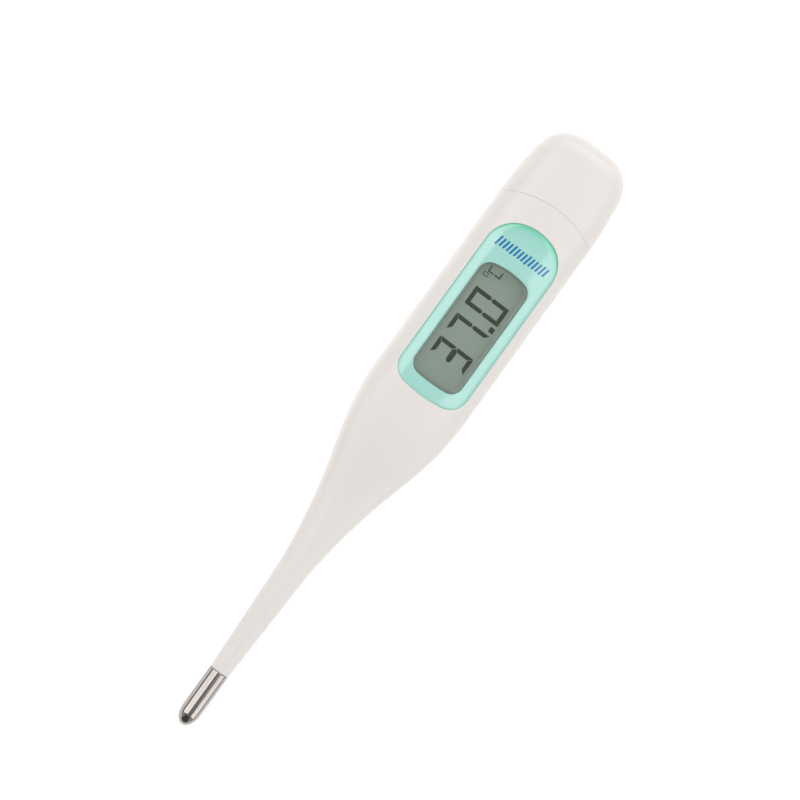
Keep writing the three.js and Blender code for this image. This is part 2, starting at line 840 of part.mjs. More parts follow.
const pieces = [
	['body_shell', bodyShell(), whitePlastic],
	['battery_cap', batteryCap(), whitePlastic],
	['cap_seal_ring', capSealRing(), greyRubber],
	['window_frame', windowFrame(), mintPlastic],
	['display_pane', displayPane(), clearPlastic],
	['window_gasket', windowGasket(), greyRubber],
	['lcd_front_polariser', polariser(), lcdGrey],
	['lcd_front_glass', frontGlass(), glass],
	['lcd_rear_glass', rearGlass(), glass],
	['lcd_reflector', reflector(), foil],
	['zebra_connector', zebraConnector(), greyRubber],
	['lcd_holder', lcdHolder(), innerPlastic],
	['circuit_board', circuitBoard(), laminate],
	['controller_glob', controllerGlob(), blackResin],
	['chip_capacitor_a', capacitor(1), tan],
	['chip_capacitor_b', capacitor(-1), tan],
	['reference_resistor', referenceResistor(), blackResin],
	['switch_base', switchBase(), blackResin],
	['switch_dome', switchDome(), spring],
	['beeper_disc', disc(beeperRadius, beeperBottom, beeperBottom + beeperThickness, beeperX), brass],
	['beeper_ceramic', disc(ceramicRadius, ceramicBottom, ceramicTop, beeperX), ceramic],
	['beeper_contact', beeperContact(), spring],
	['probe_tip', probeTip(), steel],
	['tip_potting', tipPotting(), clearResin],
	['thermistor_bead', thermistorBead(), blackResin],
	['sensor_wire_a', sensorWire(1), redWire],
	['sensor_wire_b', sensorWire(-1), copperWire],
	['power_button', powerButton(), mintPlastic],
	['battery_tray', batteryTray(), innerPlastic],
	['button_cell', buttonCell(), steel],
	['contact_positive', contactPositive(), spring],
	['contact_negative', contactNegative(), spring],
];

const group = new THREE.Group();
for (const [name, body, look] of pieces) {
	const mesh = new THREE.Mesh(geometryOf(body), new THREE.MeshStandardMaterial(look));
	mesh.name = name;
	group.add(mesh);
}
group.position.x = -overallLength / 2;

export default group;
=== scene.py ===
import json
import math
from functools import lru_cache

import bmesh
import bpy
from mathutils import Matrix, Vector


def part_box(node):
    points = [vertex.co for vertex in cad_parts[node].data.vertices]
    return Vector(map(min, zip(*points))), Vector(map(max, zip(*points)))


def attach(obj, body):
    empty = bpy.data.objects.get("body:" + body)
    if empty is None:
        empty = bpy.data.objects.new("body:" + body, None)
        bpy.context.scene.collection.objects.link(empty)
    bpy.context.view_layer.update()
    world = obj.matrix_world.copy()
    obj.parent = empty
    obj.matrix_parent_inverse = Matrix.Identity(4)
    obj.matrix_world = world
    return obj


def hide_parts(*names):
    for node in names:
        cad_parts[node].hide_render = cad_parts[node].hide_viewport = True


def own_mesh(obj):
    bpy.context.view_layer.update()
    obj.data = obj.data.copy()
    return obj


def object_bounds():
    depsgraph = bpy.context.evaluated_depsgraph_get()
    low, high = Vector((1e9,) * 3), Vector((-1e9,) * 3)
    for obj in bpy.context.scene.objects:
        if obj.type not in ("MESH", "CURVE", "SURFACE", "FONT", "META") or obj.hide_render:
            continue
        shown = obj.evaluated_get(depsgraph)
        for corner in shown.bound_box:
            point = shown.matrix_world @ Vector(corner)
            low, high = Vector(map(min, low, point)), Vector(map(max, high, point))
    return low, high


bl_info = {
    "name": "Digital Thermometer",
    "version": (1, 0, 0),
    "blender": (4, 5, 0),
    "location": "3D View > Sidebar > Thermometer",
    "description": "Builds a pen-shaped digital thermometer piece by piece round its fixed frame",
    "category": "Mesh",
}

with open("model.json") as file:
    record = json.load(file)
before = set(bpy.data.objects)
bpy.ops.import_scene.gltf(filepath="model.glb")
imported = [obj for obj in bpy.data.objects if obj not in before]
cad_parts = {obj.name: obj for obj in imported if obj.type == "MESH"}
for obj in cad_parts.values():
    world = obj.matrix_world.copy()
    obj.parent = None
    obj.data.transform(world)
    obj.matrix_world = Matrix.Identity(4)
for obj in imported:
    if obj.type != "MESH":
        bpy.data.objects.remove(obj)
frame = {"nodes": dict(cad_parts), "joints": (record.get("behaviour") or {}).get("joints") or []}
CAD_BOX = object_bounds()

# Shapes are worked out in millimetres: s along the axis from the steel tip, y across, z up.
MM = 0.001
TIP_X = CAD_BOX[0].x


def at(s, y, z):
    """A place in the frame, in metres."""
    return Vector((TIP_X + s * MM, y * MM, z * MM))


def span(node):
    """Lowest and highest corner of a frame node, as (s, y, z) in millimetres."""
    return [((c.x - TIP_X) / MM, c.y / MM, c.z / MM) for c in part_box(node)]


def smooth_step(x, low, high):
    t = min(max((x - low) / (high - low), 0.0), 1.0)
    return t * t * (3 - 2 * t)


def lerp(a, b, t):
    return a + (b - a) * t


# ------------------------------------------------------------------ what a user may change

TIP_LOW, TIP_HIGH = span("probe_tip")
FRAME_LOW, FRAME_HIGH = span("window_frame")
PANE_LOW, PANE_HIGH = span("display_pane")
FACE_LOW, FACE_HIGH = span("lcd_front_polariser")
CELL_LOW, CELL_HIGH = span("button_cell")
BUTTON_LOW, BUTTON_HIGH = span("power_button")
TRAY_LOW, TRAY_HIGH = span("battery_tray")
BOARD_LOW, BOARD_HIGH = span("circuit_board")
CAP_LOW, CAP_HIGH = span("battery_cap")
SEAL_LOW, SEAL_HIGH = span("cap_seal_ring")


def amount(name, description, default, **settings):
    """A number property."""
    return bpy.props.FloatProperty(name=name, description=description, default=default, **settings)


def length(name, description, default):
    """A length property, given in millimetres."""
    return amount(name, description, default * MM, min=0.0, precision=5, subtype="DISTANCE",
                  unit="LENGTH")


def colour(name, description, red, green, blue):
    """A colour property, given as it looks on a screen, from 0 to 255."""
    return bpy.props.FloatVectorProperty(
        name=name, description=description, subtype="COLOR_GAMMA", size=3,
        default=(red / 255, green / 255, blue / 255), min=0.0, max=1.0,
    )


class ThermometerSizes(bpy.types.PropertyGroup):
    """Sizes of the outer form and of the fine edges"""

    width: length("Width", "Width of the handle", 2 * CAP_HIGH[1])
    thickness: length("Thickness", "Thickness of the handle", CAP_HIGH[2])
    back_cut: length("Back flat", "What the flat back takes off the section", 0.3)
    neck_radius: length("Neck radius", "Radius where the probe meets the shoulder", 3)
    neck: length("Neck", "Distance from the tip to the shoulder", 36)
    handle: length("Handle", "Distance from the tip to the full width", 76.6)
    seam: length("Seam", "Distance from the tip to the middle of the cap's seam", 118)
    seam_rise: length("Seam rise", "How far the seam arches", 2.8)
    seam_gap: length("Seam gap", "Gap between the handle and the cap", 0.015)
    wall: length("Wall", "Thickness of the moulded walls", 1.2)
    edge: length("Edge rounding", "Radius on the moulded edges", 0.06)
    window_fit: length("Window fit", "Gap round the window frame", 0.01)
    window_edge: length("Frame rounding", "Radius on the window frame's long sides", 0.34)
    rear_edge: length("Frame rear rounding", "Radius on the frame's end beside the cap", 1.15)
    figure_height: length("Figure height", "Height of the figures on the display", 7.66)
    figure_stroke: length("Figure stroke", "Width of the figures' strokes", 0.81)
    mark_height: length("Mark height", "Length of the printed marks", 1.75)


class ThermometerColours(bpy.types.PropertyGroup):
    """Colours of the finishes"""

    white: colour("Housing", "Moulded handle and cap", 226, 222, 219)
    mint: colour("Mint", "Window frame and button", 163, 217, 208)
    # Deeper mint for the frame's rim: the thick edge's deeper green, and painted shade on the rounding.
    deep_mint_and_shade: colour("Deep mint", "Rim of the window frame", 112, 206, 176)
    face: colour("Display", "Ground of the display", 147, 158, 150)
    figure: colour("Figures", "Dark figures of the display", 56, 65, 57)
    print_blue: colour("Print", "Printed marks", 0, 116, 174)
    steel: colour("Steel", "Drawn steel of the tip", 170, 165, 162)


class StudioSettings(bpy.types.PropertyGroup):
    """Camera and light"""

    lens: amount("Lens", "Focal length in millimetres", 300.0, min=10.0)
    distance: amount("Distance", "Camera to object", 1.2375, subtype="DISTANCE", unit="LENGTH", min=0.1)
    tilt: amount("Tilt", "Lean of the camera towards the figures' tops", math.radians(5.4),
                 subtype="ANGLE", unit="ROTATION")
    turn: amount("Turn", "Angle of the object's axis above the picture's base", math.radians(54.2),
                 subtype="ANGLE", unit="ROTATION")
    overhead: amount("Overhead light", "Brightness of the room overhead", 0.3, min=0.0)
    horizon: amount("Side light", "Brightness of the room at the sides", 0.67, min=0.0)


def sizes():
    """The size settings in millimetres, by name."""
    group = bpy.context.scene.thermometer_sizes
    return {key: getattr(group, key) / MM for key in ThermometerSizes.__annotations__}


def screen_colour(name):
    """A colour setting as linear light with full alpha."""
    def linear(v):
        return v / 12.92 if v <= 0.04045 else ((v + 0.055) / 1.055) ** 2.4
    group = bpy.context.scene.thermometer_colours
    return (*[linear(v) for v in getattr(group, name)], 1.0)


# ------------------------------------------------------------------ the outer form


def bezier(points, t):
    """A place on a cubic curve."""
    u = 1 - t
    weights = (u ** 3, 3 * u * u * t, 3 * u * t * t, t ** 3)
    return tuple(sum(w * p[i] for w, p in zip(weights, points)) for i in (0, 1))


def height_over(points, x, halvings=36):
    """The height of a forward-running curve over x."""
    low, high = 0.0, 1.0
    for _ in range(halvings):
        middle = (low + high) / 2
        if bezier(points, middle)[0] < x:
            low = middle
        else:
            high = middle
    return bezier(points, high)[1]


class Form:
    """The outer surface that the handle, the cap and the window share."""

    # The cap's end closes over these lengths, in plan and from the side, and this fully.
    END_PLAN, END_SIDE = 18.0, 15.0
    FULL_PLAN, FULL_SIDE = 0.9, 0.85
    END_PULL = 0.815
    # The shoulder's sweep: where its curve is pulled to, as shares of its run and its rise.
    SWEEP_START, SWEEP_LIFT, SWEEP_END = 0.56, 0.32, 0.375
    ROUND, SQUARISH = 2, 4
    BACK_EASE = 0.004

    def __init__(self, size):
        self.size = size
        self.half_width = size["width"] / 2
        self.middle = (size["thickness"] - size["back_cut"]) / 2
        self.half_depth = (size["thickness"] + size["back_cut"]) / 2
        self.tip = TIP_HIGH[0]
        self.tip_radius = TIP_HIGH[1]
        self.end = CAP_HIGH[0]
        rise = size["seam_rise"]
        self.seam_radius = (self.half_width ** 2 + rise ** 2) / (2 * rise)
        self.reach = lru_cache(maxsize=None)(self._reach)

    def shoulder(self, full):
        """The sweep from the neck to the handle."""
        start, end, neck = self.size["neck"], self.size["handle"], self.size["neck_radius"]
        run = end - start
        return (
            (start, neck), (start + self.SWEEP_START * run, neck + self.SWEEP_LIFT * (full - neck)),
            (end - self.SWEEP_END * run, full), (end, full),
        )

    def rounding(self, full, run, fullness, inset):
        """The closing of the cap's end."""
        start, end, reach = self.end - run, self.end - inset, full - inset
        return (
            (start, reach), (start + self.END_PULL * (end - start), reach),
            (end, fullness * reach), (end, 0.0),
        )

    def _reach(self, s, inset):
        """Half the width and half the depth at s, drawn in by an inset."""
        size = self.size
        out = []
        for full, run, fullness in (
            (self.half_width, self.END_PLAN, self.FULL_PLAN),
            (self.half_depth, self.END_SIDE, self.FULL_SIDE),
        ):
            if s <= size["neck"]:
                t = (s - self.tip) / (size["neck"] - self.tip)
                out.append(lerp(self.tip_radius, size["neck_radius"], t) - inset)
            elif s < size["handle"]:
                out.append(height_over(self.shoulder(full), s) - inset)
            elif s <= self.end - run:
                out.append(full - inset)
            else:
                out.append(height_over(self.rounding(full, run, fullness, inset), s))
        return out

    def power(self, s):
        """How square the section is, from the round probe to the squarish handle."""
        return lerp(self.ROUND, self.SQUARISH, smooth_step(s, self.size["neck"], self.size["handle"]))

    def skin(self, s, turn, inset=0.0, ceiling=None):
        """The point of the section at s, in the direction turn, over a softly cut flat back."""
        width, depth = self.reach(s, inset)
        across, up, n = math.cos(turn), math.sin(turn), self.power(s)
        size = (abs(across) ** n + abs(up) ** n) ** (-1 / n)
        rest = self.middle + depth * size * up - inset
        z = inset + (rest + math.sqrt(rest * rest + self.BACK_EASE)) / 2
        if ceiling is not None:
            z = min(z, ceiling)
        return s, width * size * across, z

    def crown(self, s, y):
        """Height of the front surface over (s, y)."""
        width, depth = self.reach(s, 0.0)
        n = self.power(s)
        return self.middle + depth * max(1 - (abs(y) / width) ** n, 0.0) ** (1 / n)

    def seam_line(self, y):
        """Distance along the axis of the arched seam."""
        return self.size["seam"] - self.seam_radius + math.sqrt(self.seam_radius ** 2 - y * y)

    def ring(self, turns, s, inset=0.0, ceiling=None):
        """A section square to the axis."""
        return [self.skin(s, turn, inset, ceiling) for turn in turns]

    def arched_ring(self, turns, plain, past, share, inset=0.0):
        """A section between the plain one and the seam's arch, shifted past it."""
        points = []
        for turn in turns:
            s = plain
            for _ in range(6):
                y = self.skin(s, turn, inset)[1]
                s = lerp(plain, self.seam_line(y) + past, share)
            points.append(self.skin(s, turn, inset))
        return points

    def arching(self, turns, plain, past, steps):
        """Sections that turn step by step from the plain one into the seam's arch."""
        return [self.arched_ring(turns, plain, past, step / steps) for step in range(1, steps + 1)]

    def rounded_seam(self, turns, plain, past, edge):
        """The rounding at the seam; a negative edge rounds the part in front of it."""
        return [
            self.arched_ring(turns, plain, past + edge * (1 - math.sin(a)), 1.0,
                             abs(edge) * (1 - math.cos(a)))
            for a in quarter_turn(5)
        ]

    def round_ring(self, turns, s, radius):
        """A circle about the probe's axis."""
        return [
            (s, radius * math.cos(turn), self.middle + radius * math.sin(turn)) for turn in turns
        ]


def turns_for(count):
    """Directions evenly spaced round a section."""
    return [2 * math.pi * i / count for i in range(count)]


def quarter_turn(steps):
    """Angles from 0 to a right angle."""
    return [math.pi / 2 * i / steps for i in range(steps + 1)]


def arched_outline(start, end, width, front, rear, grow):
    """A plan outline with straight sides, rounded corners and slightly arched ends, anticlockwise.
    front and rear are (corner radius, end arc's radius)."""
    half = width / 2 + grow
    corner_steps, arc_steps, side_steps = 10, 16, 30

    def fit(radius, arc):
        inner, outer = radius + grow, arc + grow
        offset = math.sqrt((outer - inner) ** 2 - (half - inner) ** 2)
        return inner, outer, offset, math.asin((half - inner) / (outer - inner))

    front_inner, front_outer, front_offset, front_turn = fit(*front)
    rear_inner, rear_outer, rear_offset, rear_turn = fit(*rear)
    rear_arc, front_arc = end + grow - rear_outer, start - grow + front_outer
    rear_x, front_x = rear_arc + rear_offset, front_arc - front_offset

    def arc(x, y, radius, low, high, count):
        return [
            (x + radius * math.cos(lerp(low, high, i / count)),
             y + radius * math.sin(lerp(low, high, i / count)))
            for i in range(count)
        ]

    def side(a, b, y):
        return [(lerp(a, b, i / side_steps), y) for i in range(side_steps)]

    right = math.pi / 2
    turn_in, turn_out = 2 * right - front_turn, 2 * right + front_turn
    return (
        side(front_x, rear_x, -half)
        + arc(rear_x, rear_inner - half, rear_inner, -right, -rear_turn, corner_steps)
        + arc(rear_arc, 0, rear_outer, -rear_turn, rear_turn, arc_steps)
        + arc(rear_x, half - rear_inner, rear_inner, rear_turn, right, corner_steps)
        + side(rear_x, front_x, half)
        + arc(front_x, half - front_inner, front_inner, right, turn_in, corner_steps)
        + arc(front_arc, 0, front_outer, turn_in, turn_out, arc_steps)
        + arc(front_x, front_inner - half, front_inner, turn_out, 3 * right, corner_steps)
    )


PANE_FLANGE = 0.55
VIEW_START, VIEW_END = PANE_LOW[0] + PANE_FLANGE, PANE_HIGH[0] - PANE_FLANGE - 0.2
VIEW_WIDTH = 2 * (PANE_HIGH[1] - PANE_FLANGE)
VIEW_MIDDLE = (VIEW_START + VIEW_END) / 2

# The radius of the corners and the radius of the arched end, in front and at the rear.
WINDOW_FRONT, WINDOW_REAR = (3.8, 24), (6.3, 10)
VIEW_FRONT, VIEW_REAR = (2.5, 30), (2.5, 15)


def window_outline(grow):
    """The window's outline; grow 0 is the recess in the handle."""
    fit = sizes()["window_fit"]
    return arched_outline(
        FRAME_LOW[0] - fit, FRAME_HIGH[0] + fit, 2 * (FRAME_HIGH[1] + fit),
        WINDOW_FRONT, WINDOW_REAR, grow,
    )


def view_outline(grow):
    """The outline of the opening over the display."""
    return arched_outline(VIEW_START, VIEW_END, VIEW_WIDTH, VIEW_FRONT, VIEW_REAR, grow)


# ------------------------------------------------------------------ workshop


def new_points(made):
    """The points among what an operator has made."""
    return [v for v in made["geom"] if isinstance(v, bmesh.types.BMVert)]


def raise_faces(mesh, faces, height):
    """Gives flat faces a thickness, in millimetres."""
    fresh = new_points(bmesh.ops.extrude_face_region(mesh, geom=faces))
    bmesh.ops.translate(mesh, vec=(0, 0, height * MM), verts=fresh)


def flat(plan, z):
    """A plan outline at one height."""
    return [(s, y, z) for s, y in plan]


class Blank:
    """A workpiece: a ring of edges that is extruded from place to place, and then closed."""

    def __init__(self, points, layer=None, level=None):
        self.mesh = bmesh.new()
        self.layer = self.mesh.verts.layers.float.new(layer) if layer else None
        bmesh.ops.create_circle(self.mesh, segments=len(points), radius=1.0)
        self.ring = list(self.mesh.verts)
        self.edges = list(self.mesh.edges)
        self.start = list(self.edges)
        self.place(points, level)

    def place(self, points, level):
        """Moves the ring's points, and gives them their levels."""
        for i, (vert, point) in enumerate(zip(self.ring, points)):
            vert.co = at(*point)
            if self.layer:
                vert[self.layer] = level[i]

    def draw(self, points, level=None):
        """Extrudes the ring on to new points."""
        fresh = set(new_points(bmesh.ops.extrude_edge_only(self.mesh, edges=self.edges)))
        self.ring = [
            next(e.other_vert(v) for e in v.link_edges if e.other_vert(v) in fresh)
            for v in self.ring
        ]
        count = len(self.ring)
        self.edges = [
            self.mesh.edges.get((self.ring[i], self.ring[(i + 1) % count])) for i in range(count)
        ]
        self.place(points, level)
        return self

    def draw_all(self, rings):
        """Extrudes the ring through one set of points after another."""
        for points in rings:
            self.draw(points)
        return self

    def join_ends(self):
        """Joins the last ring to the first, for a piece with a bore."""
        bmesh.ops.bridge_loops(self.mesh, edges=self.start + self.edges)
        return self

    def cap_ends(self):
        """Closes both ends with a face."""
        for edges in (self.start, self.edges):
            if all(e.is_valid for e in edges):
                bmesh.ops.contextual_create(self.mesh, geom=edges)
        return self


def merge_slivers(mesh, least=0.002):
    """Merges what lies closer together than the least length, in millimetres."""
    bmesh.ops.remove_doubles(mesh, verts=mesh.verts, dist=least * MM)
    bmesh.ops.dissolve_degenerate(mesh, edges=mesh.edges, dist=least / 4 * MM)


def new_object(name, data):
    """An object in the scene."""
    made = bpy.data.objects.new(name, data)
    bpy.context.scene.collection.objects.link(made)
    return made


def put_in_scene(name, mesh):
    """A finished bmesh as an object at the origin, with its faces pointing outwards."""
    merge_slivers(mesh)
    bmesh.ops.recalc_face_normals(mesh, faces=mesh.faces)
    data = bpy.data.meshes.new(name)
    mesh.to_mesh(data)
    mesh.free()
    return new_object(name, data)


def shade(piece, angle=32):
    """Smooth shading that breaks at real edges."""
    piece.data.shade_smooth()
    piece.data.set_sharp_from_angle(angle=math.radians(angle))
    return piece


def deliver(piece, body, slot, material, *nodes):
    """Gives a piece its finish and its place in the frame."""
    piece.data.materials.clear()
    piece.data.materials.append(material)
    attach(piece, body)
    if nodes:
        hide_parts(*nodes)
    return piece


def carve(piece, cutter):
    """Cuts one closed piece out of another for good."""
    modifier = piece.modifiers.new("carve", "BOOLEAN")
    modifier.operation = "DIFFERENCE"
    modifier.solver = "EXACT"
    modifier.object = cutter
    graph = bpy.context.evaluated_depsgraph_get()
    cut = bpy.data.meshes.new_from_object(piece.evaluated_get(graph))
    piece.modifiers.clear()
    piece.data = cut
    bpy.data.objects.remove(cutter)
    mesh = bmesh.new()
    mesh.from_mesh(cut)
    merge_slivers(mesh)
    mesh.to_mesh(cut)
    mesh.free()
    if not cut.polygons:
        raise RuntimeError(f"nothing is left of {piece.name}")
    return piece


def round_edges(piece, radius, angle):
    """Rounds every edge of a piece that is sharper than an angle."""
    mesh = bmesh.new()
    mesh.from_mesh(piece.data)
    merge_slivers(mesh, radius)
    bmesh.ops.dissolve_limit(
        mesh, angle_limit=math.radians(1), use_dissolve_boundaries=False,
        verts=mesh.verts, edges=mesh.edges,
    )
    sharp = [
        e for e in mesh.edges
        if len(e.link_faces) == 2 and e.calc_face_angle(0.0) > math.radians(angle)
    ]
    bmesh.ops.bevel(
        mesh, geom=sharp, offset=radius * MM, offset_type="OFFSET", segments=2,
        profile=0.5, affect="EDGES", material=-1, clamp_overlap=True,
    )
    merge_slivers(mesh)
    mesh.to_mesh(piece.data)
    mesh.free()
    return piece


def turned(name, profile, centre, axis, steps=96):
    """A profile of (distance along the axis, radius) spun round an axis through a centre."""
    mesh = bmesh.new()
    axis, centre = Vector(axis), at(*centre)
    side = Vector((0, 1, 0))
    line = [
        mesh.verts.new(centre + axis * (along * MM) + side * (radius * MM)) for along, radius in profile
    ]
    edges = [mesh.edges.new(pair) for pair in zip(line, line[1:])]
    bmesh.ops.spin(
        mesh, geom=line + edges, cent=centre, axis=axis, dvec=(0, 0, 0),
        angle=2 * math.pi, steps=steps, use_merge=True, use_duplicate=False,
    )
    return put_in_scene(name, mesh)


def prism(name, outline, low, high):
    """A plan outline raised from one height to another."""
    return put_in_scene(name, Blank(flat(outline, low)).draw(flat(outline, high)).cap_ends().mesh)


def block(name, low, high):
    """A block between two corners."""
    mesh = bmesh.new()
    bmesh.ops.create_cube(mesh, size=1.0)
    size = [(b - a) * MM for a, b in zip(low, high)]
    bmesh.ops.scale(mesh, vec=size, verts=mesh.verts)
    middle = at(*[(a + b) / 2 for a, b in zip(low, high)])
    bmesh.ops.translate(mesh, vec=middle, verts=mesh.verts)
    return put_in_scene(name, mesh)


def strip(name, path, thickness, width):
    """A bent spring strip from its middle line in s and z, with rounded edges."""
    mesh = bmesh.new()
    line = [mesh.verts.new(at(s, -width / 2, z)) for s, z in path]
    edges = [mesh.edges.new(pair) for pair in zip(line, line[1:])]
    fresh = new_points(bmesh.ops.extrude_edge_only(mesh, edges=edges))
    bmesh.ops.translate(mesh, vec=(0, width * MM, 0), verts=fresh)
    bmesh.ops.recalc_face_normals(mesh, faces=mesh.faces)
    bmesh.ops.solidify(mesh, geom=mesh.faces, thickness=thickness * MM)
    piece = put_in_scene(name, mesh)
    low = min(v.co.z for v in piece.data.vertices)
    high = max(v.co.z for v in piece.data.vertices)
    wanted = (min(z for _, z in path) + max(z for _, z in path)) / 2 * MM
    piece.data.transform(Matrix.Translation((0, 0, wanted - (low + high) / 2)))
    return round_edges(piece, 0.05, 40)


def eased(path, radius, steps=5):
    """A path in s and z with its bends rounded."""
    points = [path[0]]
    for before, corner, after in zip(path, path[1:], path[2:]):
        a, b, c = Vector(before), Vector(corner), Vector(after)
        run = min(radius, (b - a).length / 2.2, (c - b).length / 2.2)
        first, last = b + (a - b).normalized() * run, b + (c - b).normalized() * run
        for i in range(steps + 1):
            t = i / steps
            points.append(tuple(first.lerp(b, t).lerp(b.lerp(last, t), t)))
    return points + [path[-1]]


# ------------------------------------------------------------------ finishes


class Level:
    """A value inside a material, so that its arithmetic reads as plain sums."""

    def __init__(self, tree, socket):
        self.tree = tree
        self.socket = socket

    def _sum(self, operation, first, second):
        node = self.tree.nodes.new("ShaderNodeMath")
        node.operation = operation
        for slot, value in zip(node.inputs, (first, second)):
            if isinstance(value, Level):
                self.tree.links.new(value.socket, slot)
            else:
                slot.default_value = value
        return Level(self.tree, node.outputs[0])

    def __add__(self, other):
        return self._sum("ADD", self, other)

    def __radd__(self, other):
        return self._sum("ADD", other, self)

    def __sub__(self, other):
        return self._sum("SUBTRACT", self, other)

    def __rsub__(self, other):
        return self._sum("SUBTRACT", other, self)

    def __mul__(self, other):
        return self._sum("MULTIPLY", self, other)

    def __rmul__(self, other):
        return self._sum("MULTIPLY", other, self)

    def __pow__(self, other):
        return self._sum("POWER", self, other)


class Finish:
    """A material being made up."""

    def __init__(self, name, **constants):
        self.material = bpy.data.materials.new(name)
        self.material.use_nodes = True
        self.tree = self.material.node_tree
        self.surface = self.tree.nodes["Principled BSDF"]
        for key, value in constants.items():
            socket = key.replace("_", " ").title().replace("Ior", "IOR")
            self.surface.inputs[socket].default_value = value
        self.place = self.node("ShaderNodeTexCoord", output="Object")

    def node(self, kind, settings=None, sockets=None, output=0):
        """Any node: its settings first, then the values or links of its sockets."""
        node = self.tree.nodes.new(kind)
        for key, value in (settings or {}).items():
            if key == "stops":
                for element, (position, tone) in zip(node.color_ramp.elements, value):
                    element.position, element.color = position, (tone, tone, tone, 1)
            else:
                setattr(node, key, value)
        for key, value in (sockets or {}).items():
            self.feed(node.inputs[key], value)
        return Level(self.tree, node.outputs[output])

    def feed(self, slot, value):
        """Links a level to a socket, or sets the socket's own value."""
        if isinstance(value, Level):
            self.tree.links.new(value.socket, slot)
        else:
            slot.default_value = value

    def noise(self, feature, detail=2.0, stretch=(1, 1, 1)):
        """Soft blotches about a feature's size across, in millimetres."""
        vector = self.node("ShaderNodeMapping", {"vector_type": "POINT"},
                           {"Vector": self.place, "Scale": stretch})
        return self.node("ShaderNodeTexNoise", None, {
            "Vector": vector, "Scale": 1 / (feature * MM), "Detail": detail, "Roughness": 0.5,
        })

    def mix(self, share, first, second):
        """One colour turning into another."""
        return self.node("ShaderNodeMix", {"data_type": "RGBA"}, {0: share, 6: first, 7: second}, 2)

    def sharpen(self, level, low, high):
        """A level drawn out between two stops."""
        return self.node("ShaderNodeValToRGB", {"stops": ((low, 0.0), (high, 1.0))}, {"Fac": level})

    def set(self, name, value):
        """Feeds a socket of the surface."""
        self.feed(self.surface.inputs[name], value)
        return self

    def bump(self, height, depth, strength=1.0):
        """Relief of a depth in millimetres."""
        normal = self.node("ShaderNodeBump", None, {
            "Height": height, "Strength": strength, "Distance": depth * MM,
        })
        return self.set("Normal", normal)


def tinted(tone, factor):
    """A colour made lighter or darker, worked out in Python."""
    return (*[min(v * factor, 1.0) for v in tone[:3]], 1.0)


def plain_finish(name, tone, roughness, blotch, spread, rough_spread, grain, depth,
                 stretch=(1, 1, 1), **constants):
    """A finish with cloudy colour, uneven gloss and fine grain. The blotches' and the grain's width
    and the grain's depth are in millimetres."""
    made = Finish(name, **constants)
    cloud = made.noise(blotch, 3.0)
    made.set("Base Color", made.mix(cloud, tinted(tone, 1 - spread), tinted(tone, 1 + spread)))
    streak = made.noise(grain * 6, 3.0, stretch)
    made.set("Roughness", streak * (2 * rough_spread) + (roughness - rough_spread))
    made.bump(made.noise(grain, 2.0, stretch), depth)
    return made


FINISHES = {}


def finish(name):
    """The material of a name, made on first use."""
    if name not in FINISHES:
        if name in METALS:
            made = metal(name, *METALS[name])
        elif name in PLAIN_FINISHES:
            made = plain_finish(name, *PLAIN_FINISHES[name], **PLAIN_CONSTANTS.get(name, {}))
        else:
            made = MAKERS[name]()
        FINISHES[name] = made.material
    return FINISHES[name]


def moulded_white():
    """Satin white plastic with the faint waviness of a moulded skin."""
    return plain_finish("moulded_white", screen_colour("white"), 0.34, 9.0, 0.012, 0.05, 0.5, 0.0035)


def glossy_mint():
    """Glossy mint plastic that deepens towards the rim: the thick edge's deeper green, and painted shade
    on the rounded rim, strongest at the rear where the slope turns from the light.
    """
    made = plain_finish("glossy_mint", screen_colour("mint"), 0.16, 7.0, 0.015, 0.03, 0.7, 0.001,
                        coat_weight=0.6, coat_roughness=0.04)
    cloud = made.noise(4.0, 2.0)
    # Per-point share of the rim's deeper green and painted shade.
    rim = made.node("ShaderNodeAttribute", {"attribute_name": "rim"}, None, "Fac")
    base = made.mix(cloud, tinted(screen_colour("mint"), 0.985), tinted(screen_colour("mint"), 1.015))
    made.set("Base Color", made.mix(rim, base, screen_colour("deep_mint_and_shade")))
    return made


def button_mint():
    """Satin mint for the button on the back."""
    return plain_finish("button_mint", screen_colour("mint"), 0.34, 3.0, 0.03, 0.06, 0.25, 0.006)


def clear_window():
    """Clear, polished plastic: it mirrors a little and lets the rest through."""
    made = plain_finish("clear_window", (0.9, 0.95, 0.92, 1.0), 0.06, 5.0, 0.01, 0.02, 1.5, 0.0004,
                        metallic=1.0)
    nodes, links = made.tree.nodes, made.tree.links
    through = nodes.new("ShaderNodeBsdfTransparent")
    through.inputs["Color"].default_value = (0.985, 0.995, 0.985, 1.0)
    slope = made.node("ShaderNodeLayerWeight", None, {"Blend": 0.5}, "Facing")
    blend = nodes.new("ShaderNodeMixShader")
    made.feed(blend.inputs[0], slope ** 5 * 0.9 + 0.035)
    links.new(through.outputs[0], blend.inputs[1])
    links.new(made.surface.outputs[0], blend.inputs[2])
    links.new(blend.outputs[0], nodes["Material Output"].inputs["Surface"])
    return made


def display_face():
    """The grey-green ground of the display, with its fine sparkle."""
    return plain_finish("display_face", screen_colour("face"), 0.5, 5.0, 0.012, 0.08, 0.12, 0.002,
                        specular_ior_level=0.15)


def figure_dark():
    """Switched-on figures."""
    return plain_finish("figure_dark", screen_colour("figure"), 0.5, 2.0, 0.06, 0.08, 0.12, 0.002,
                        specular_ior_level=0.05)


def printed_blue():
    """Blue print under the frame's gloss."""
    return plain_finish("printed_blue", screen_colour("print_blue"), 0.2, 1.2, 0.08, 0.05, 0.1, 0.002,
                        coat_weight=0.6, coat_roughness=0.04)


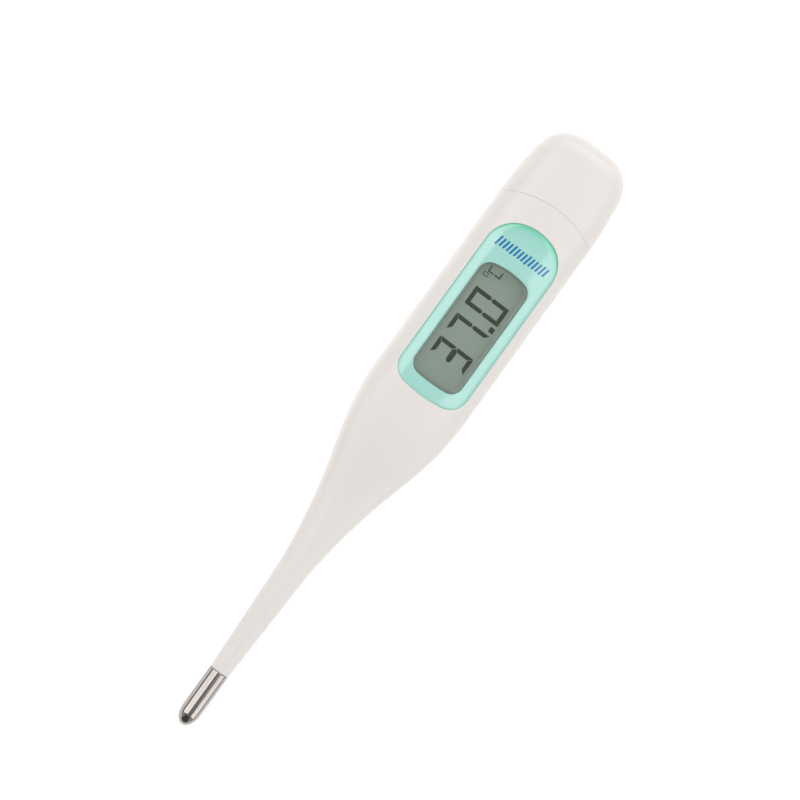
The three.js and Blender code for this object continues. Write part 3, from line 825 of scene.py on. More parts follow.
def drawn_steel():
    """Polished steel with drawing lines round the tube."""
    made = plain_finish("drawn_steel", screen_colour("steel"), 0.11, 2.0, 0.05, 0.05, 0.05, 0.0004,
                        (1, 0.06, 0.06), metallic=1.0)
    scuff = made.sharpen(made.noise(0.9, 6.0), 0.62, 0.75)
    return made.set("Roughness", made.noise(0.3, 3.0, (1, 0.1, 0.1)) * 0.08 + scuff * 0.08 + 0.07)


def metal(name, tone, roughness, stretch):
    """Sheet or plated metal with rolling lines."""
    return plain_finish(name, tone, roughness, 1.5, 0.08, 0.08, 0.08, 0.0012, stretch, metallic=1.0)


def striped_rubber():
    """Contact strip of alternating dark and pale rubber."""
    made = plain_finish("striped_rubber", (0.16, 0.17, 0.18, 1), 0.7, 1.0, 0.05, 0.06, 0.1, 0.004)
    wave = made.node("ShaderNodeTexWave", {"wave_type": "BANDS", "bands_direction": "X"},
                     {"Vector": made.place, "Scale": 1 / (0.35 * MM) / 6.28, "Distortion": 0.0})
    return made.set("Base Color", made.mix(
        made.sharpen(wave, 0.4, 0.6), (0.02, 0.02, 0.022, 1), (0.35, 0.36, 0.37, 1)))


def board_green():
    """Solder mask over copper tracks."""
    made = plain_finish("board_green", (0.03, 0.16, 0.07, 1), 0.35, 5.0, 0.1, 0.08, 0.15, 0.003)
    tracks = made.node("ShaderNodeTexBrick", {"offset": 0.37, "squash": 1.4}, {
        "Vector": made.place, "Scale": 1 / (3.1 * MM), "Mortar Size": 0.045, "Mortar Smooth": 0.2,
        "Brick Width": 0.9, "Row Height": 0.31,
    }, "Fac")
    made.set("Base Color", made.mix(tracks, (0.028, 0.15, 0.065, 1), (0.07, 0.29, 0.12, 1)))
    made.bump(tracks + made.noise(0.15) * 0.15, 0.03)
    return made


MAKERS = {maker.__name__: maker for maker in (
    moulded_white, glossy_mint, button_mint, clear_window, display_face, figure_dark,
    printed_blue, drawn_steel, striped_rubber, board_green,
)}

# Colour, roughness, blotch width, spread of the colour, spread of the roughness, grain width and
# grain depth.
PLAIN_FINISHES = {
    "seal_rubber": ((0.13, 0.14, 0.145, 1), 0.62, 2.0, 0.06, 0.1, 0.12, 0.008),
    "display_glass": ((0.5, 0.58, 0.52, 1), 0.06, 6.0, 0.02, 0.02, 1.0, 0.0003),
    "inner_plastic": ((0.66, 0.66, 0.62, 1), 0.46, 4.0, 0.03, 0.08, 0.22, 0.008),
    "black_resin": ((0.012, 0.012, 0.013, 1), 0.24, 1.5, 0.15, 0.1, 0.3, 0.01),
    "capacitor_tan": ((0.42, 0.29, 0.16, 1), 0.5, 0.5, 0.12, 0.08, 0.08, 0.004),
    "piezo_ceramic": ((0.72, 0.69, 0.62, 1), 0.6, 1.5, 0.05, 0.08, 0.1, 0.006),
    "potting_resin": ((0.25, 0.19, 0.09, 1), 0.25, 1.0, 0.12, 0.08, 0.3, 0.01),
    "red_lacquer": ((0.38, 0.06, 0.035, 1), 0.3, 1.0, 0.1, 0.08, 0.2, 0.004),
    "copper_lacquer": ((0.5, 0.2, 0.07, 1), 0.3, 1.0, 0.1, 0.08, 0.2, 0.004),
}
PLAIN_CONSTANTS = {"display_glass": {"alpha": 0.5}, "copper_lacquer": {"metallic": 0.6}}

# Colour, roughness and the stretch of the rolling lines.
METALS = {
    "foil": ((0.5, 0.51, 0.48, 1), 0.42, (1, 1, 1)),
    "spring_steel": ((0.56, 0.55, 0.52, 1), 0.3, (0.1, 1, 1)),
    "brass": ((0.6, 0.4, 0.13, 1), 0.32, (1, 1, 1)),
    "cell_steel": ((0.62, 0.61, 0.59, 1), 0.22, (1, 0.15, 0.15)),
}

# The frame's own parts that stay in sight, under the finish that each of them gets.
KEPT_PARTS = {
    "seal_rubber": ("window_gasket",),
    "display_face": ("lcd_front_polariser",),
    "display_glass": ("lcd_front_glass", "lcd_rear_glass"),
    "foil": ("lcd_reflector",),
    "striped_rubber": ("zebra_connector",),
    "inner_plastic": ("lcd_holder",),
    "board_green": ("circuit_board",),
    "black_resin": ("controller_glob", "reference_resistor", "switch_base", "thermistor_bead"),
    "capacitor_tan": ("chip_capacitor_a", "chip_capacitor_b"),
    "brass": ("beeper_disc",),
    "piezo_ceramic": ("beeper_ceramic",),
    "spring_steel": ("beeper_contact",),
    "potting_resin": ("tip_potting",),
    "red_lacquer": ("sensor_wire_a",),
    "copper_lacquer": ("sensor_wire_b",),
}


# ------------------------------------------------------------------ pieces


# Points round a moulded section, and the width of the ledge that carries the window frame.
ROUND_STEPS = 144
LEDGE = 1.0
UPWARDS = (0, 0, 1)
BUTTON_MIDDLE = (BUTTON_LOW[0] + BUTTON_HIGH[0]) / 2
BUTTON_RADIUS = BUTTON_HIGH[1] - 0.7


class THERMOMETER_OT_housing(bpy.types.Operator):
    """Mould the handle and the probe, open behind the seam and cut for the window and the button"""

    bl_idname = "thermometer.housing"
    bl_label = "Handle and Probe"

    # The bore for the sensor's wires, how far the spigot goes into the steel tip, where the
    # sections start to arch, and where the mouth's inside is flat again.
    BORE, BORE_END = 0.8, 12.6
    SPIGOT = 6.4
    ARCH_START, ARCH_STEPS = 112.6, 9
    MOUTH = 113.25
    INSIDE = (110, 104, 98, 92, 86, 80, 76.6, 73, 70, 67, 64, 61, 58, 55, 52, 49, 46, 43, 40, 36, 24, 13)

    def execute(self, context):
        size = sizes()
        form, turns = Form(size), turns_for(ROUND_STEPS)
        wall, edge = size["wall"], size["edge"]
        arch, mouth = self.ARCH_START, self.MOUTH
        spigot, bore, nose = form.tip_radius - 0.3, self.BORE, form.tip - self.SPIGOT
        root = form.tip + 0.05
        blank = Blank(form.round_ring(turns, nose, bore))
        blank.draw_all([
            form.round_ring(turns, nose, spigot - 0.15),
            form.round_ring(turns, nose + 0.15, spigot),
            form.round_ring(turns, root, spigot),
            form.round_ring(turns, root, form.tip_radius - 0.08),
            form.round_ring(turns, root + 0.08, form.tip_radius),
        ])
        blank.draw_all([form.ring(turns, s) for s in self.outer_stations(size, root + 0.6, arch)])
        blank.draw_all(form.arching(turns, arch, -2 * edge, self.ARCH_STEPS))
        blank.draw_all(form.rounded_seam(turns, arch, 0.0, -edge))
        ceiling = FACE_HIGH[2] + 0.1
        blank.draw_all([
            form.arched_ring(turns, arch, 0.0, 1.0, wall - 0.1),
            form.arched_ring(turns, arch, -0.1, 1.0, wall),
            form.arched_ring(turns, mouth, -0.1, 0.4, wall),
            form.ring(turns, mouth, wall),
            form.ring(turns, mouth - 0.1, wall, ceiling),
        ])
        blank.draw_all([form.ring(turns, s, wall, ceiling) for s in self.INSIDE])
        blank.draw(form.round_ring(turns, self.BORE_END, bore))
        blank.join_ends()
        piece = put_in_scene("moulded_handle", blank.mesh)
        carve(piece, self.window_cutter(form))
        carve(piece, self.button_cutter(size))
        shade(piece)
        deliver(piece, "handle", "white_plastic", finish("moulded_white"), "body_shell")
        return {"FINISHED"}

    def outer_stations(self, size, start, end):
        """Places along the axis, close together where the form curves and beside the window."""
        stations = []
        s = start
        while s < end - 0.2:
            stations.append(s)
            if s < size["neck"]:
                s += 1.6
            elif s < size["handle"] - 4:
                s += 0.7
            else:
                s += 0.5
        return stations + [end]

    def window_cutter(self, form):
        """The stepped recess, flaring softly into the front surface."""
        flare, floor = 0.1, FRAME_LOW[2] + 0.5
        step = window_outline(-LEDGE)
        blank = Blank(flat(step, FACE_HIGH[2] - 1.5))
        blank.draw_all([flat(step, floor), flat(window_outline(0.0), floor)])
        for degrees in (0, 18, 36, 54, 68):
            a = math.radians(degrees)
            outline = window_outline(flare * (1 - math.cos(a)))
            drop = flare * (1 - math.sin(a))
            blank.draw([(s, y, form.crown(s, y) - drop) for s, y in outline])
        outline = window_outline(1.6)
        flank, above = 8.5, 14.0
        blank.draw([(s, y, form.crown(s, min(max(y, -flank), flank)) + 0.35) for s, y in outline])
        blank.draw(flat(outline, above))
        return put_in_scene("window_cutter", blank.cap_ends().mesh)

    def button_cutter(self, size):
        """The button's hole, eased at its edge."""
        radius = BUTTON_RADIUS + 0.08
        inside = size["wall"] + 1.0
        profile = [
            (inside, 0), (inside, radius), (0.22, radius), (0.12, radius + 0.03), (0.04, radius + 0.1),
            (0.0, radius + 0.22), (-0.1, radius + 0.6), (-1.0, radius + 0.6), (-1.0, 0),
        ]
        return turned("button_cutter", profile, (BUTTON_MIDDLE, 0, 0), UPWARDS, 72)


class THERMOMETER_OT_end_cap(bpy.types.Operator):
    """Mould the battery cap with its plug, and its sealing ring"""

    bl_idname = "thermometer.end_cap"
    bl_label = "Battery Cap"

    # Where the sections stop arching, and the sections' places along the closing curves.
    ARCH_START, ARCH_STEPS = 119.6, 5
    INSIDE_START = 120
    OUTSIDE = (0.998, 0.99, 0.975, 0.955, 0.93, 0.9, 0.865, 0.825,
               0.78, 0.73, 0.675, 0.615, 0.55, 0.48, 0.41, 0.34)
    INSIDE = (0.45, 0.55, 0.65, 0.74, 0.82, 0.88, 0.93, 0.965, 0.99)

    def execute(self, context):
        size = sizes()
        form, turns = Form(size), turns_for(ROUND_STEPS)
        wall, edge, gap = size["wall"], size["edge"], size["seam_gap"]
        arch, plug, bore = self.ARCH_START, wall + 0.1, wall + 0.95
        outer = form.rounding(form.half_width, form.END_PLAN, form.FULL_PLAN, 0.0)
        end = [bezier(outer, t)[0] for t in self.OUTSIDE]
        blank = Blank(form.round_ring(turns, form.end, 0.0))
        blank.draw_all([form.ring(turns, s) for s in end if s > arch + 0.3] + [form.ring(turns, arch)])
        blank.draw_all(form.arching(turns, arch, gap + 2 * edge, self.ARCH_STEPS))
        blank.draw_all(form.rounded_seam(turns, arch, gap, edge))
        blank.draw(form.arched_ring(turns, arch, gap, 1.0, plug))
        groove = plug + 0.45
        low, high = SEAL_LOW[0] - 0.05, SEAL_HIGH[0] + 0.05
        front = CAP_LOW[0]
        for s, inset in (
            (high, plug), (high, groove), (low, groove), (low, plug), (front + 0.15, plug),
            (front, plug + 0.12), (front, bore - 0.1), (front + 0.1, bore),
            (self.INSIDE_START, bore), (self.INSIDE_START + 0.05, wall),
        ):
            blank.draw(form.ring(turns, s, inset))
        inside = form.rounding(form.half_width, form.END_PLAN, form.FULL_PLAN, wall)
        blank.draw_all([form.ring(turns, bezier(inside, t)[0], wall) for t in self.INSIDE])
        blank.draw(form.round_ring(turns, form.end - wall, 0.0))
        piece = shade(put_in_scene("moulded_end_cap", blank.mesh))
        deliver(piece, "cap", "white_plastic", finish("moulded_white"), "battery_cap")
        self.seal(form, turns, plug)
        return {"FINISHED"}

    def seal(self, form, turns, plug):
        """A soft ring of rounded section in the plug's groove."""
        low, high = SEAL_LOW[0], SEAL_HIGH[0]
        rings = []
        for a in turns_for(16):
            across, out = math.cos(a), math.sin(a)
            swell = (abs(across) ** 3 + abs(out) ** 3) ** (-1 / 3)
            s = (low + high) / 2 + (high - low) / 2 * across * swell
            inset = plug + 0.18 - 0.22 * out * swell
            rings.append(form.ring(turns, s, inset))
        blank = Blank(rings[0]).draw_all(rings[1:]).join_ends()
        piece = shade(put_in_scene("seal_ring", blank.mesh), 60)
        deliver(piece, "cap", "grey_rubber", finish("seal_rubber"), "cap_seal_ring")


class THERMOMETER_OT_window_frame(bpy.types.Operator):
    """Mould the glossy mint frame round the display"""

    bl_idname = "thermometer.window_frame"
    bl_label = "Window Frame"

    def execute(self, context):
        size = sizes()
        form = Form(size)
        fit = size["window_fit"]
        outline, within = window_outline(-fit), window_outline(-fit - LEDGE)
        rear, front = FRAME_HIGH[0], FRAME_LOW[0]
        radii = [
            lerp(size["window_edge"], size["rear_edge"], smooth_step(s, rear - 5.0, rear - 0.4))
            + 0.25 * (1 - smooth_step(s, front + 0.3, front + 3.5))
            for s, _ in outline
        ]

        def inward(i, distance):
            (s, y), (a, b) = outline[i], within[i]
            return s + (a - s) * distance, y + (b - y) * distance

        underside = FRAME_LOW[2] + 0.69
        sunk, lip, steps = 0.02, 0.1, 9
        # Share of the deeper rim colour along the outline, least at the front end and full at the rear:
        # the thick edge's deeper green, and painted shade where the rounding turns from the light.
        deepening_and_shade = [
            0.12 + 0.24 * smooth_step(s, front + 0.5, front + 4.0)
            + 0.64 * smooth_step(s, rear - 7.5, rear - 1.5)
            for s, _ in outline
        ]
        drops = [lerp(0.13, 0.3, smooth_step(s, rear - 5.0, rear - 0.4)) for s, _ in outline]
        # Each ring's share of the rim's deeper green and painted shade: full under the edge, fading over
        # the rounding, gone before the view opening.
        rings, rims = [flat(outline, underside)], [1.0]
        for a in quarter_turn(6):
            points = []
            for i, radius in enumerate(radii):
                s, y = inward(i, radius * (1 - math.cos(a)))
                drop = drops[i] * (1 - math.sin(a)) + sunk
                points.append((s, y, form.crown(s, y) - drop))
            rings.append(points)
            rims.append(1.0 - 0.7 * (a / (math.pi / 2)) ** 3)
        edge = [(s, y) for s, y, _ in rings[-1]]
        for k in range(1, steps + 1):
            t = k / steps
            plan = [(lerp(a[0], b[0], t), lerp(a[1], b[1], t)) for a, b in zip(edge, view_outline(lip))]
            rings.append([(s, y, form.crown(s, y) - sunk) for s, y in plan])
            rims.append(0.3 * max(1 - 3 * t, 0.0) ** 2)
        for a in quarter_turn(3)[1:]:
            plan = view_outline(lip * (1 - math.sin(a)))
            rings.append([(s, y, form.crown(s, y) - sunk - lip * (1 - math.cos(a))) for s, y in plan])
            rims.append(0.0)
        flange = PANE_LOW[2] + 0.55
        view, step, floor = view_outline(0.0), view_outline(PANE_FLANGE + 0.05), FRAME_LOW[2]
        for plan, z in (
            (view, flange), (step, flange), (step, floor), (within, floor), (within, underside),
        ):
            rings.append(flat(plan, z))
            rims.append(0.0)
        # The rim's painted shade and deeper green, kept per point in the piece's own attribute.
        tints_and_shade = [[rim * share for share in deepening_and_shade] for rim in rims]
        blank = Blank(rings[0], "rim", tints_and_shade[0])
        for points, tint_and_shade in zip(rings[1:], tints_and_shade[1:]):
            blank.draw(points, tint_and_shade)
        blank.join_ends()
        piece = shade(put_in_scene("mint_window_frame", blank.mesh), 40)
        deliver(piece, "handle", "mint_plastic", finish("glossy_mint"), "window_frame")
        return {"FINISHED"}


class THERMOMETER_OT_clear_window(bpy.types.Operator):
    """Mould the clear window with its hidden flange"""

    bl_idname = "thermometer.clear_window"
    bl_label = "Clear Window"

    def execute(self, context):
        size = sizes()
        form = Form(size)
        half = VIEW_WIDTH / 2
        flange_top = PANE_LOW[2] + 0.5
        gap, edge, steps = 0.05, 0.1, 8
        flange = view_outline(PANE_FLANGE)
        blank = Blank(flat(flange, PANE_LOW[2]))
        bmesh.ops.contextual_create(blank.mesh, geom=blank.edges)
        blank.draw_all([flat(flange, flange_top), flat(view_outline(-gap), flange_top)])
        top = form.crown(VIEW_MIDDLE, half) - 0.03
        for a in quarter_turn(3):
            plan = view_outline(-gap - edge * (1 - math.cos(a)))
            blank.draw(flat(plan, top - edge * (1 - math.sin(a))))
        for k in range(1, steps + 1):
            t = k / steps
            plan = []
            for s, y in view_outline(-gap - edge):
                spine = min(max(s, VIEW_START + half), VIEW_END - half)
                plan.append((lerp(s, spine, t), y * (1 - t)))
            blank.draw(flat(plan, top))
        piece = shade(put_in_scene("clear_window", blank.mesh), 40)
        deliver(piece, "handle", "clear_plastic", finish("clear_window"), "display_pane")
        return {"FINISHED"}


class THERMOMETER_OT_display_figures(bpy.types.Operator):
    """Lay the dark figures of a reading, 37.0 degrees, on the display's ground"""

    bl_idname = "thermometer.display_figures"
    bl_label = "Display Figures"

    BOTTOM = -4.1
    THICKNESS = 0.03
    LEAN = math.tan(math.radians(1.5))
    # The least gap between strokes that meet, and the wider one where a mitre shows.
    GAP, MITRE = 0.012, 0.05
    # Each figure's left and right side, its strokes and the gap at its corners.
    FIGURES = (
        (83.0, 86.55, "abcdg", MITRE), (88.15, 91.75, "abc", MITRE), (94.0, 97.85, "abcdef", GAP),
    )

    def execute(self, context):
        size = sizes()
        self.mesh = bmesh.new()
        self.top = self.BOTTOM + size["figure_height"]
        self.middle = (self.top + self.BOTTOM) / 2
        self.stroke = size["figure_stroke"]
        for figure in self.FIGURES:
            self.figure(*figure)
        low, high = self.BOTTOM, self.BOTTOM + 1.0
        self.patch([(92.35, low), (93.4, low), (93.42, high), (92.37, high)])
        self.degree_sign()
        piece = shade(put_in_scene("display_figures", self.mesh))
        deliver(piece, "handle", "lcd_face", finish("figure_dark"))
        return {"FINISHED"}

    def patch(self, corners):
        """One flat shape, raised a little from the ground."""
        low = FACE_HIGH[2] - 0.01
        verts = [self.mesh.verts.new(at(s + self.LEAN * (y - self.middle), y, low)) for s, y in corners]
        raise_faces(self.mesh, [self.mesh.faces.new(verts)], self.THICKNESS)

    def bars(self, places):
        """Upright rectangles from their left, right, low and high sides."""
        for left, right, low, high in places:
            self.patch([(left, low), (right, low), (right, high), (left, high)])

    def figure(self, left, right, strokes, cut):
        """One seven-stroke figure; cut opens the mitres at its corners."""
        w, top, mid = self.stroke, self.top, self.middle
        end, blunt, gap, half = 0.38, 0.08, 0.1, 0.55
        inner = right - w
        upper_right = [
            (right, top - cut), (right, mid + end), (right - 0.3 * w, mid + blunt),
            (right - 0.7 * w, mid + blunt), (inner, mid + end), (inner, top - w - cut),
        ]
        if "g" in strokes:
            upper_right = [
                (right, top - cut), (right, mid + 0.2), (right - 0.3 * w, mid + blunt),
                (inner, mid + 0.68), (inner, top - w - cut),
            ]
        upper_left = [(left + right - s, y) for s, y in upper_right]
        bar = [(left + cut, top), (right - cut, top), (inner - cut, top - w), (left + w + cut, top - w)]

        def below(shape):
            return [(s, 2 * mid - y) for s, y in shape]
        shapes = {
            "a": bar,
            "b": upper_right,
            "c": below(upper_right),
            "d": below(bar),
            "e": below(upper_left),
            "f": upper_left,
            "g": [
                (left + 0.3, mid - 0.25), (left + 0.3, mid + 0.2), (left + 0.75, mid + half),
                (inner - 0.02, mid + half), (right - 0.55 * w, mid + gap), (right - 0.45 * w, mid - gap),
                (inner - 0.02, mid - half), (left + 0.75, mid - half),
            ],
        }
        for stroke in strokes:
            self.patch(shapes[stroke])

    def degree_sign(self):
        """A small open box and a C of thin strokes."""
        thin, gap = 0.14, self.GAP
        left, right, low, high = 100.15, 101.0, 2.95, 3.95
        inner_low, inner_high = low + thin + gap, high - thin - gap
        self.bars((
            (left, right, high - thin, high), (left, right, low, low + thin),
            (left, left + thin, inner_low, inner_high), (right - thin, right, inner_low, inner_high),
        ))
        bold, split = 0.26, 0.14
        left, right, low, high = 101.25, 102.55, 0.72, 3.45
        mid = (low + high) / 2
        self.bars((
            (left, right, high - bold, high), (left, right, low, low + bold),
            (left, left + bold, mid + split, high - bold - gap),
            (left, left + bold, low + bold + gap, mid - split),
        ))


class THERMOMETER_OT_printed_marks(bpy.types.Operator):
    """Print a plain row of blue marks on the frame"""

    bl_idname = "thermometer.printed_marks"
    bl_label = "Printed Marks"

    COUNT = 14
    MIDDLE = 107.2
    FIRST, LAST = 5.7, -5.75
    SLANT = -0.22
    THICKNESS = 0.022

    def execute(self, context):
        size = sizes()
        form, mesh, tall = Form(size), bmesh.new(), size["mark_height"]
        pitch = (self.FIRST - self.LAST) / self.COUNT
        for i in range(self.COUNT):
            longer = 1 if i % 4 else 1.15
            self.mark(form, mesh, self.FIRST - pitch * (i + 0.5), tall * longer, pitch * 0.52)
        piece = shade(put_in_scene("printed_marks", mesh))
        deliver(piece, "handle", "mint_plastic", finish("printed_blue"))
        return {"FINISHED"}

    def mark(self, form, mesh, y, tall, broad):
        """One slanted bar, following the frame's surface."""
        made = bmesh.ops.create_grid(mesh, x_segments=3, y_segments=3, size=0.5)
        for vert in made["verts"]:
            along = vert.co.x * tall
            s, across = self.MIDDLE + along, y + vert.co.y * broad + along * self.SLANT
            vert.co = at(s, across, form.crown(s, across) - 0.03)
        raise_faces(mesh, list({f for v in made["verts"] for f in v.link_faces}), self.THICKNESS)


class THERMOMETER_OT_probe_tip(bpy.types.Operator):
    """Draw the steel tip"""

    bl_idname = "thermometer.probe_tip"
    bl_label = "Steel Tip"

    DOME = 3.1
    SHEET = 0.2
    STATIONS = (3.6, 4.6, 5.8, 7.0, 8.2, 9.4)

    def execute(self, context):
        size = sizes()
        form = Form(size)
        mouth, end_radius = TIP_HIGH[0], form.tip_radius
        start_radius = end_radius - 0.05

        def dome(inset, steps):
            return [
                (self.DOME - (self.DOME - inset) * math.cos(a), (start_radius - inset) * math.sin(a))
                for a in quarter_turn(steps)
            ]
        profile = dome(0.0, 20)
        for s in (*self.STATIONS, mouth - 0.3, mouth - 0.13, mouth - 0.1):
            share = (s - self.DOME) / (mouth - self.DOME)
            profile.append((s, lerp(start_radius, end_radius, share)))
        profile += [
            (mouth - 0.03, end_radius - 0.02), (mouth, end_radius - 0.08),
            (mouth, end_radius - self.SHEET),
        ]
        profile += dome(self.SHEET, 12)[::-1]
        piece = shade(turned("steel_tip", profile, (0, 0, form.middle), (1, 0, 0)), 60)
        deliver(piece, "handle", "polished_steel", finish("drawn_steel"), "probe_tip")
        return {"FINISHED"}


class THERMOMETER_OT_push_button(bpy.types.Operator):
    """Turn the button on the back"""

    bl_idname = "thermometer.push_button"
    bl_label = "Power Button"

    def execute(self, context):
        (_, _, face), (_, flange, top) = BUTTON_LOW, BUTTON_HIGH
        radius, stem, thick = BUTTON_RADIUS, 1.3, 0.7
        shelf = sizes()["wall"] + 0.1
        profile = [
            (face + 0.14, 0.0), (face + 0.13, 1.2), (face + 0.08, 2.0), (face + 0.02, 2.35), (face, 2.55),
            (face, radius - 0.3), (face + 0.04, radius - 0.12), (face + 0.12, radius - 0.04),
            (face + 0.25, radius), (shelf, radius), (shelf, flange), (shelf + thick, flange),
            (shelf + thick, stem), (top, stem), (top, 0.0),
        ]
        piece = turned("push_button", profile, (BUTTON_MIDDLE, 0, 0), UPWARDS)
        deliver(shade(piece), "button", "mint_plastic", finish("button_mint"), "power_button")
        return {"FINISHED"}


class THERMOMETER_OT_snap_dome(bpy.types.Operator):
    """Make the switch's snap dome under the button"""

    bl_idname = "thermometer.snap_dome"
    bl_label = "Snap Dome"

    SHEET = 0.08
    SLACK = 0.02
    STEPS = 14

    def execute(self, context):
        (s0, _, low), (s1, _, high) = span("switch_dome")
        radius, rise, middle = (s1 - s0) / 2, high - low, (s0 + s1) / 2

        def bowl(inset):
            shares = [i / self.STEPS for i in range(self.STEPS + 1)]
            return [(high - (rise - inset) * (1 - t * t), (radius - inset) * t) for t in shares]
        profile = bowl(0.0) + bowl(self.SHEET)[::-1]
        piece = shade(turned("snap_dome", profile, (middle, 0, 0), UPWARDS, 64), 60)
        deliver(piece, "handle", "spring_steel", finish("spring_steel"), "switch_dome")
        travel = next(j["range_m"][1] for j in frame["joints"] if j["name"] == "button_press")
        pushed = travel / MM - (low - BUTTON_HIGH[2]) + self.SLACK
        at(middle, 0, high)
        (rise - pushed) / rise
        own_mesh(piece)
        return {"FINISHED"}


class THERMOMETER_OT_battery_bay(bpy.types.Operator):
    """Make the battery's cradle, the cell and its two spring contacts"""

    bl_idname = "thermometer.battery_bay"
    bl_label = "Battery Bay"

    def execute(self, context):
        middle = (CELL_LOW[0] + CELL_HIGH[0]) / 2
        radius = (CELL_HIGH[0] - CELL_LOW[0]) / 2
        self.cradle(middle, radius)
        self.cell(middle, radius)
        self.contacts()
        return {"FINISHED"}

    def cradle(self, middle, radius):
        """A round-ended tray with a pocket for the cell and slots for board and contacts."""
        start, half, low, high = TRAY_LOW[0], TRAY_HIGH[1], TRAY_LOW[2], TRAY_HIGH[2]
        floor, above = CELL_LOW[2] - 0.35, high + 1
        board, board_end, channel = BOARD_HIGH[1], BOARD_HIGH[0] + 0.1, 1.5
        pocket = radius + 0.12
        bow = [
            (middle + half * math.cos(a), half * math.sin(a))
            for a in [math.pi * (i / 40 - 0.5) for i in range(41)]
        ]
        piece = prism("cell_cradle", [(start, -half), *bow, (start, half)], low, high)
        profile = [(floor, 0), (floor, pocket), (above, pocket), (above, 0)]
        carve(piece, turned("pocket", profile, (middle, 0, 0), UPWARDS, 80))
        for name, corner, opposite in (
            ("channel", (start - 1, -channel, floor), (middle, channel, above)),
            ("slot", (start - 1, -board, BOARD_LOW[2] - 0.1), (board_end, board, BOARD_HIGH[2] + 0.1)),
            ("notch", (middle, -channel, floor + 0.25), (middle + 2 * half, channel, above)),
        ):
            carve(piece, block(name, corner, opposite))
        round_edges(piece, 0.12, 35)
        deliver(shade(piece), "handle", "inner_plastic", finish("inner_plastic"), "battery_tray")

    def cell(self, middle, radius):
        """A coin cell: its lid below, the crimp round it and the stamped can."""
        low, high = CELL_LOW[2], CELL_HIGH[2]
        lid = [(0.0, radius), (0.0, 0.85), (0.06, 0.7), (0.3, 0.62), (0.34, 0.5), (0.3, 0.35),
               (0.32, 0.2), (0.42, 0.06), (0.6, 0.0)]
        can = [(0.3, 0.0), (0.12, 0.05), (0.02, 0.2), (0.0, 0.38), (0.0, 0.75), (0.03, 0.8),
               (0.03, 0.9), (0.0, 0.95), (0.0, radius)]
        profile = [(low + up, radius - inset) for up, inset in lid]
        profile += [(high - down, radius - inset) for down, inset in can]
        piece = turned("coin_cell", profile, (middle, 0, 0), UPWARDS)
        deliver(shade(piece, 50), "handle", "cell_steel", finish("cell_steel"), "button_cell")

    def contacts(self):
        """The strip that rises to the can and the one that dips under the lid."""
        thick, bend = 0.25, TRAY_LOW[0] + 1.0
        for name, node, rising, run in (
            ("plus_spring", "contact_positive", True, 3.0),
            ("minus_spring", "contact_negative", False, 1.2),
        ):
            (s0, y0, z0), (s1, y1, z1) = span(node)
            low, high = z0 + thick / 2, z1 - thick / 2
            first, last = (low, high) if rising else (high, low)
            path = [(s0, first), (bend, first), (BOARD_HIGH[0] + run, last), (s1, last)]
            piece = strip(name, eased(path, 0.5), thick, y1 - y0)
            deliver(shade(piece), "handle", "spring_steel", finish("spring_steel"), node)


class THERMOMETER_OT_inner_parts(bpy.types.Operator):
    """Give the frame's inner parts their finishes"""

    bl_idname = "thermometer.inner_parts"
    bl_label = "Inner Parts"

    def execute(self, context):
        for name, nodes in KEPT_PARTS.items():
            for node in nodes:
                part = frame["nodes"][node]
                if not part.material_slots:
                    part.data.materials.append(None)
                for slot in part.material_slots:
                    slot.material = finish(name)
        return {"FINISHED"}


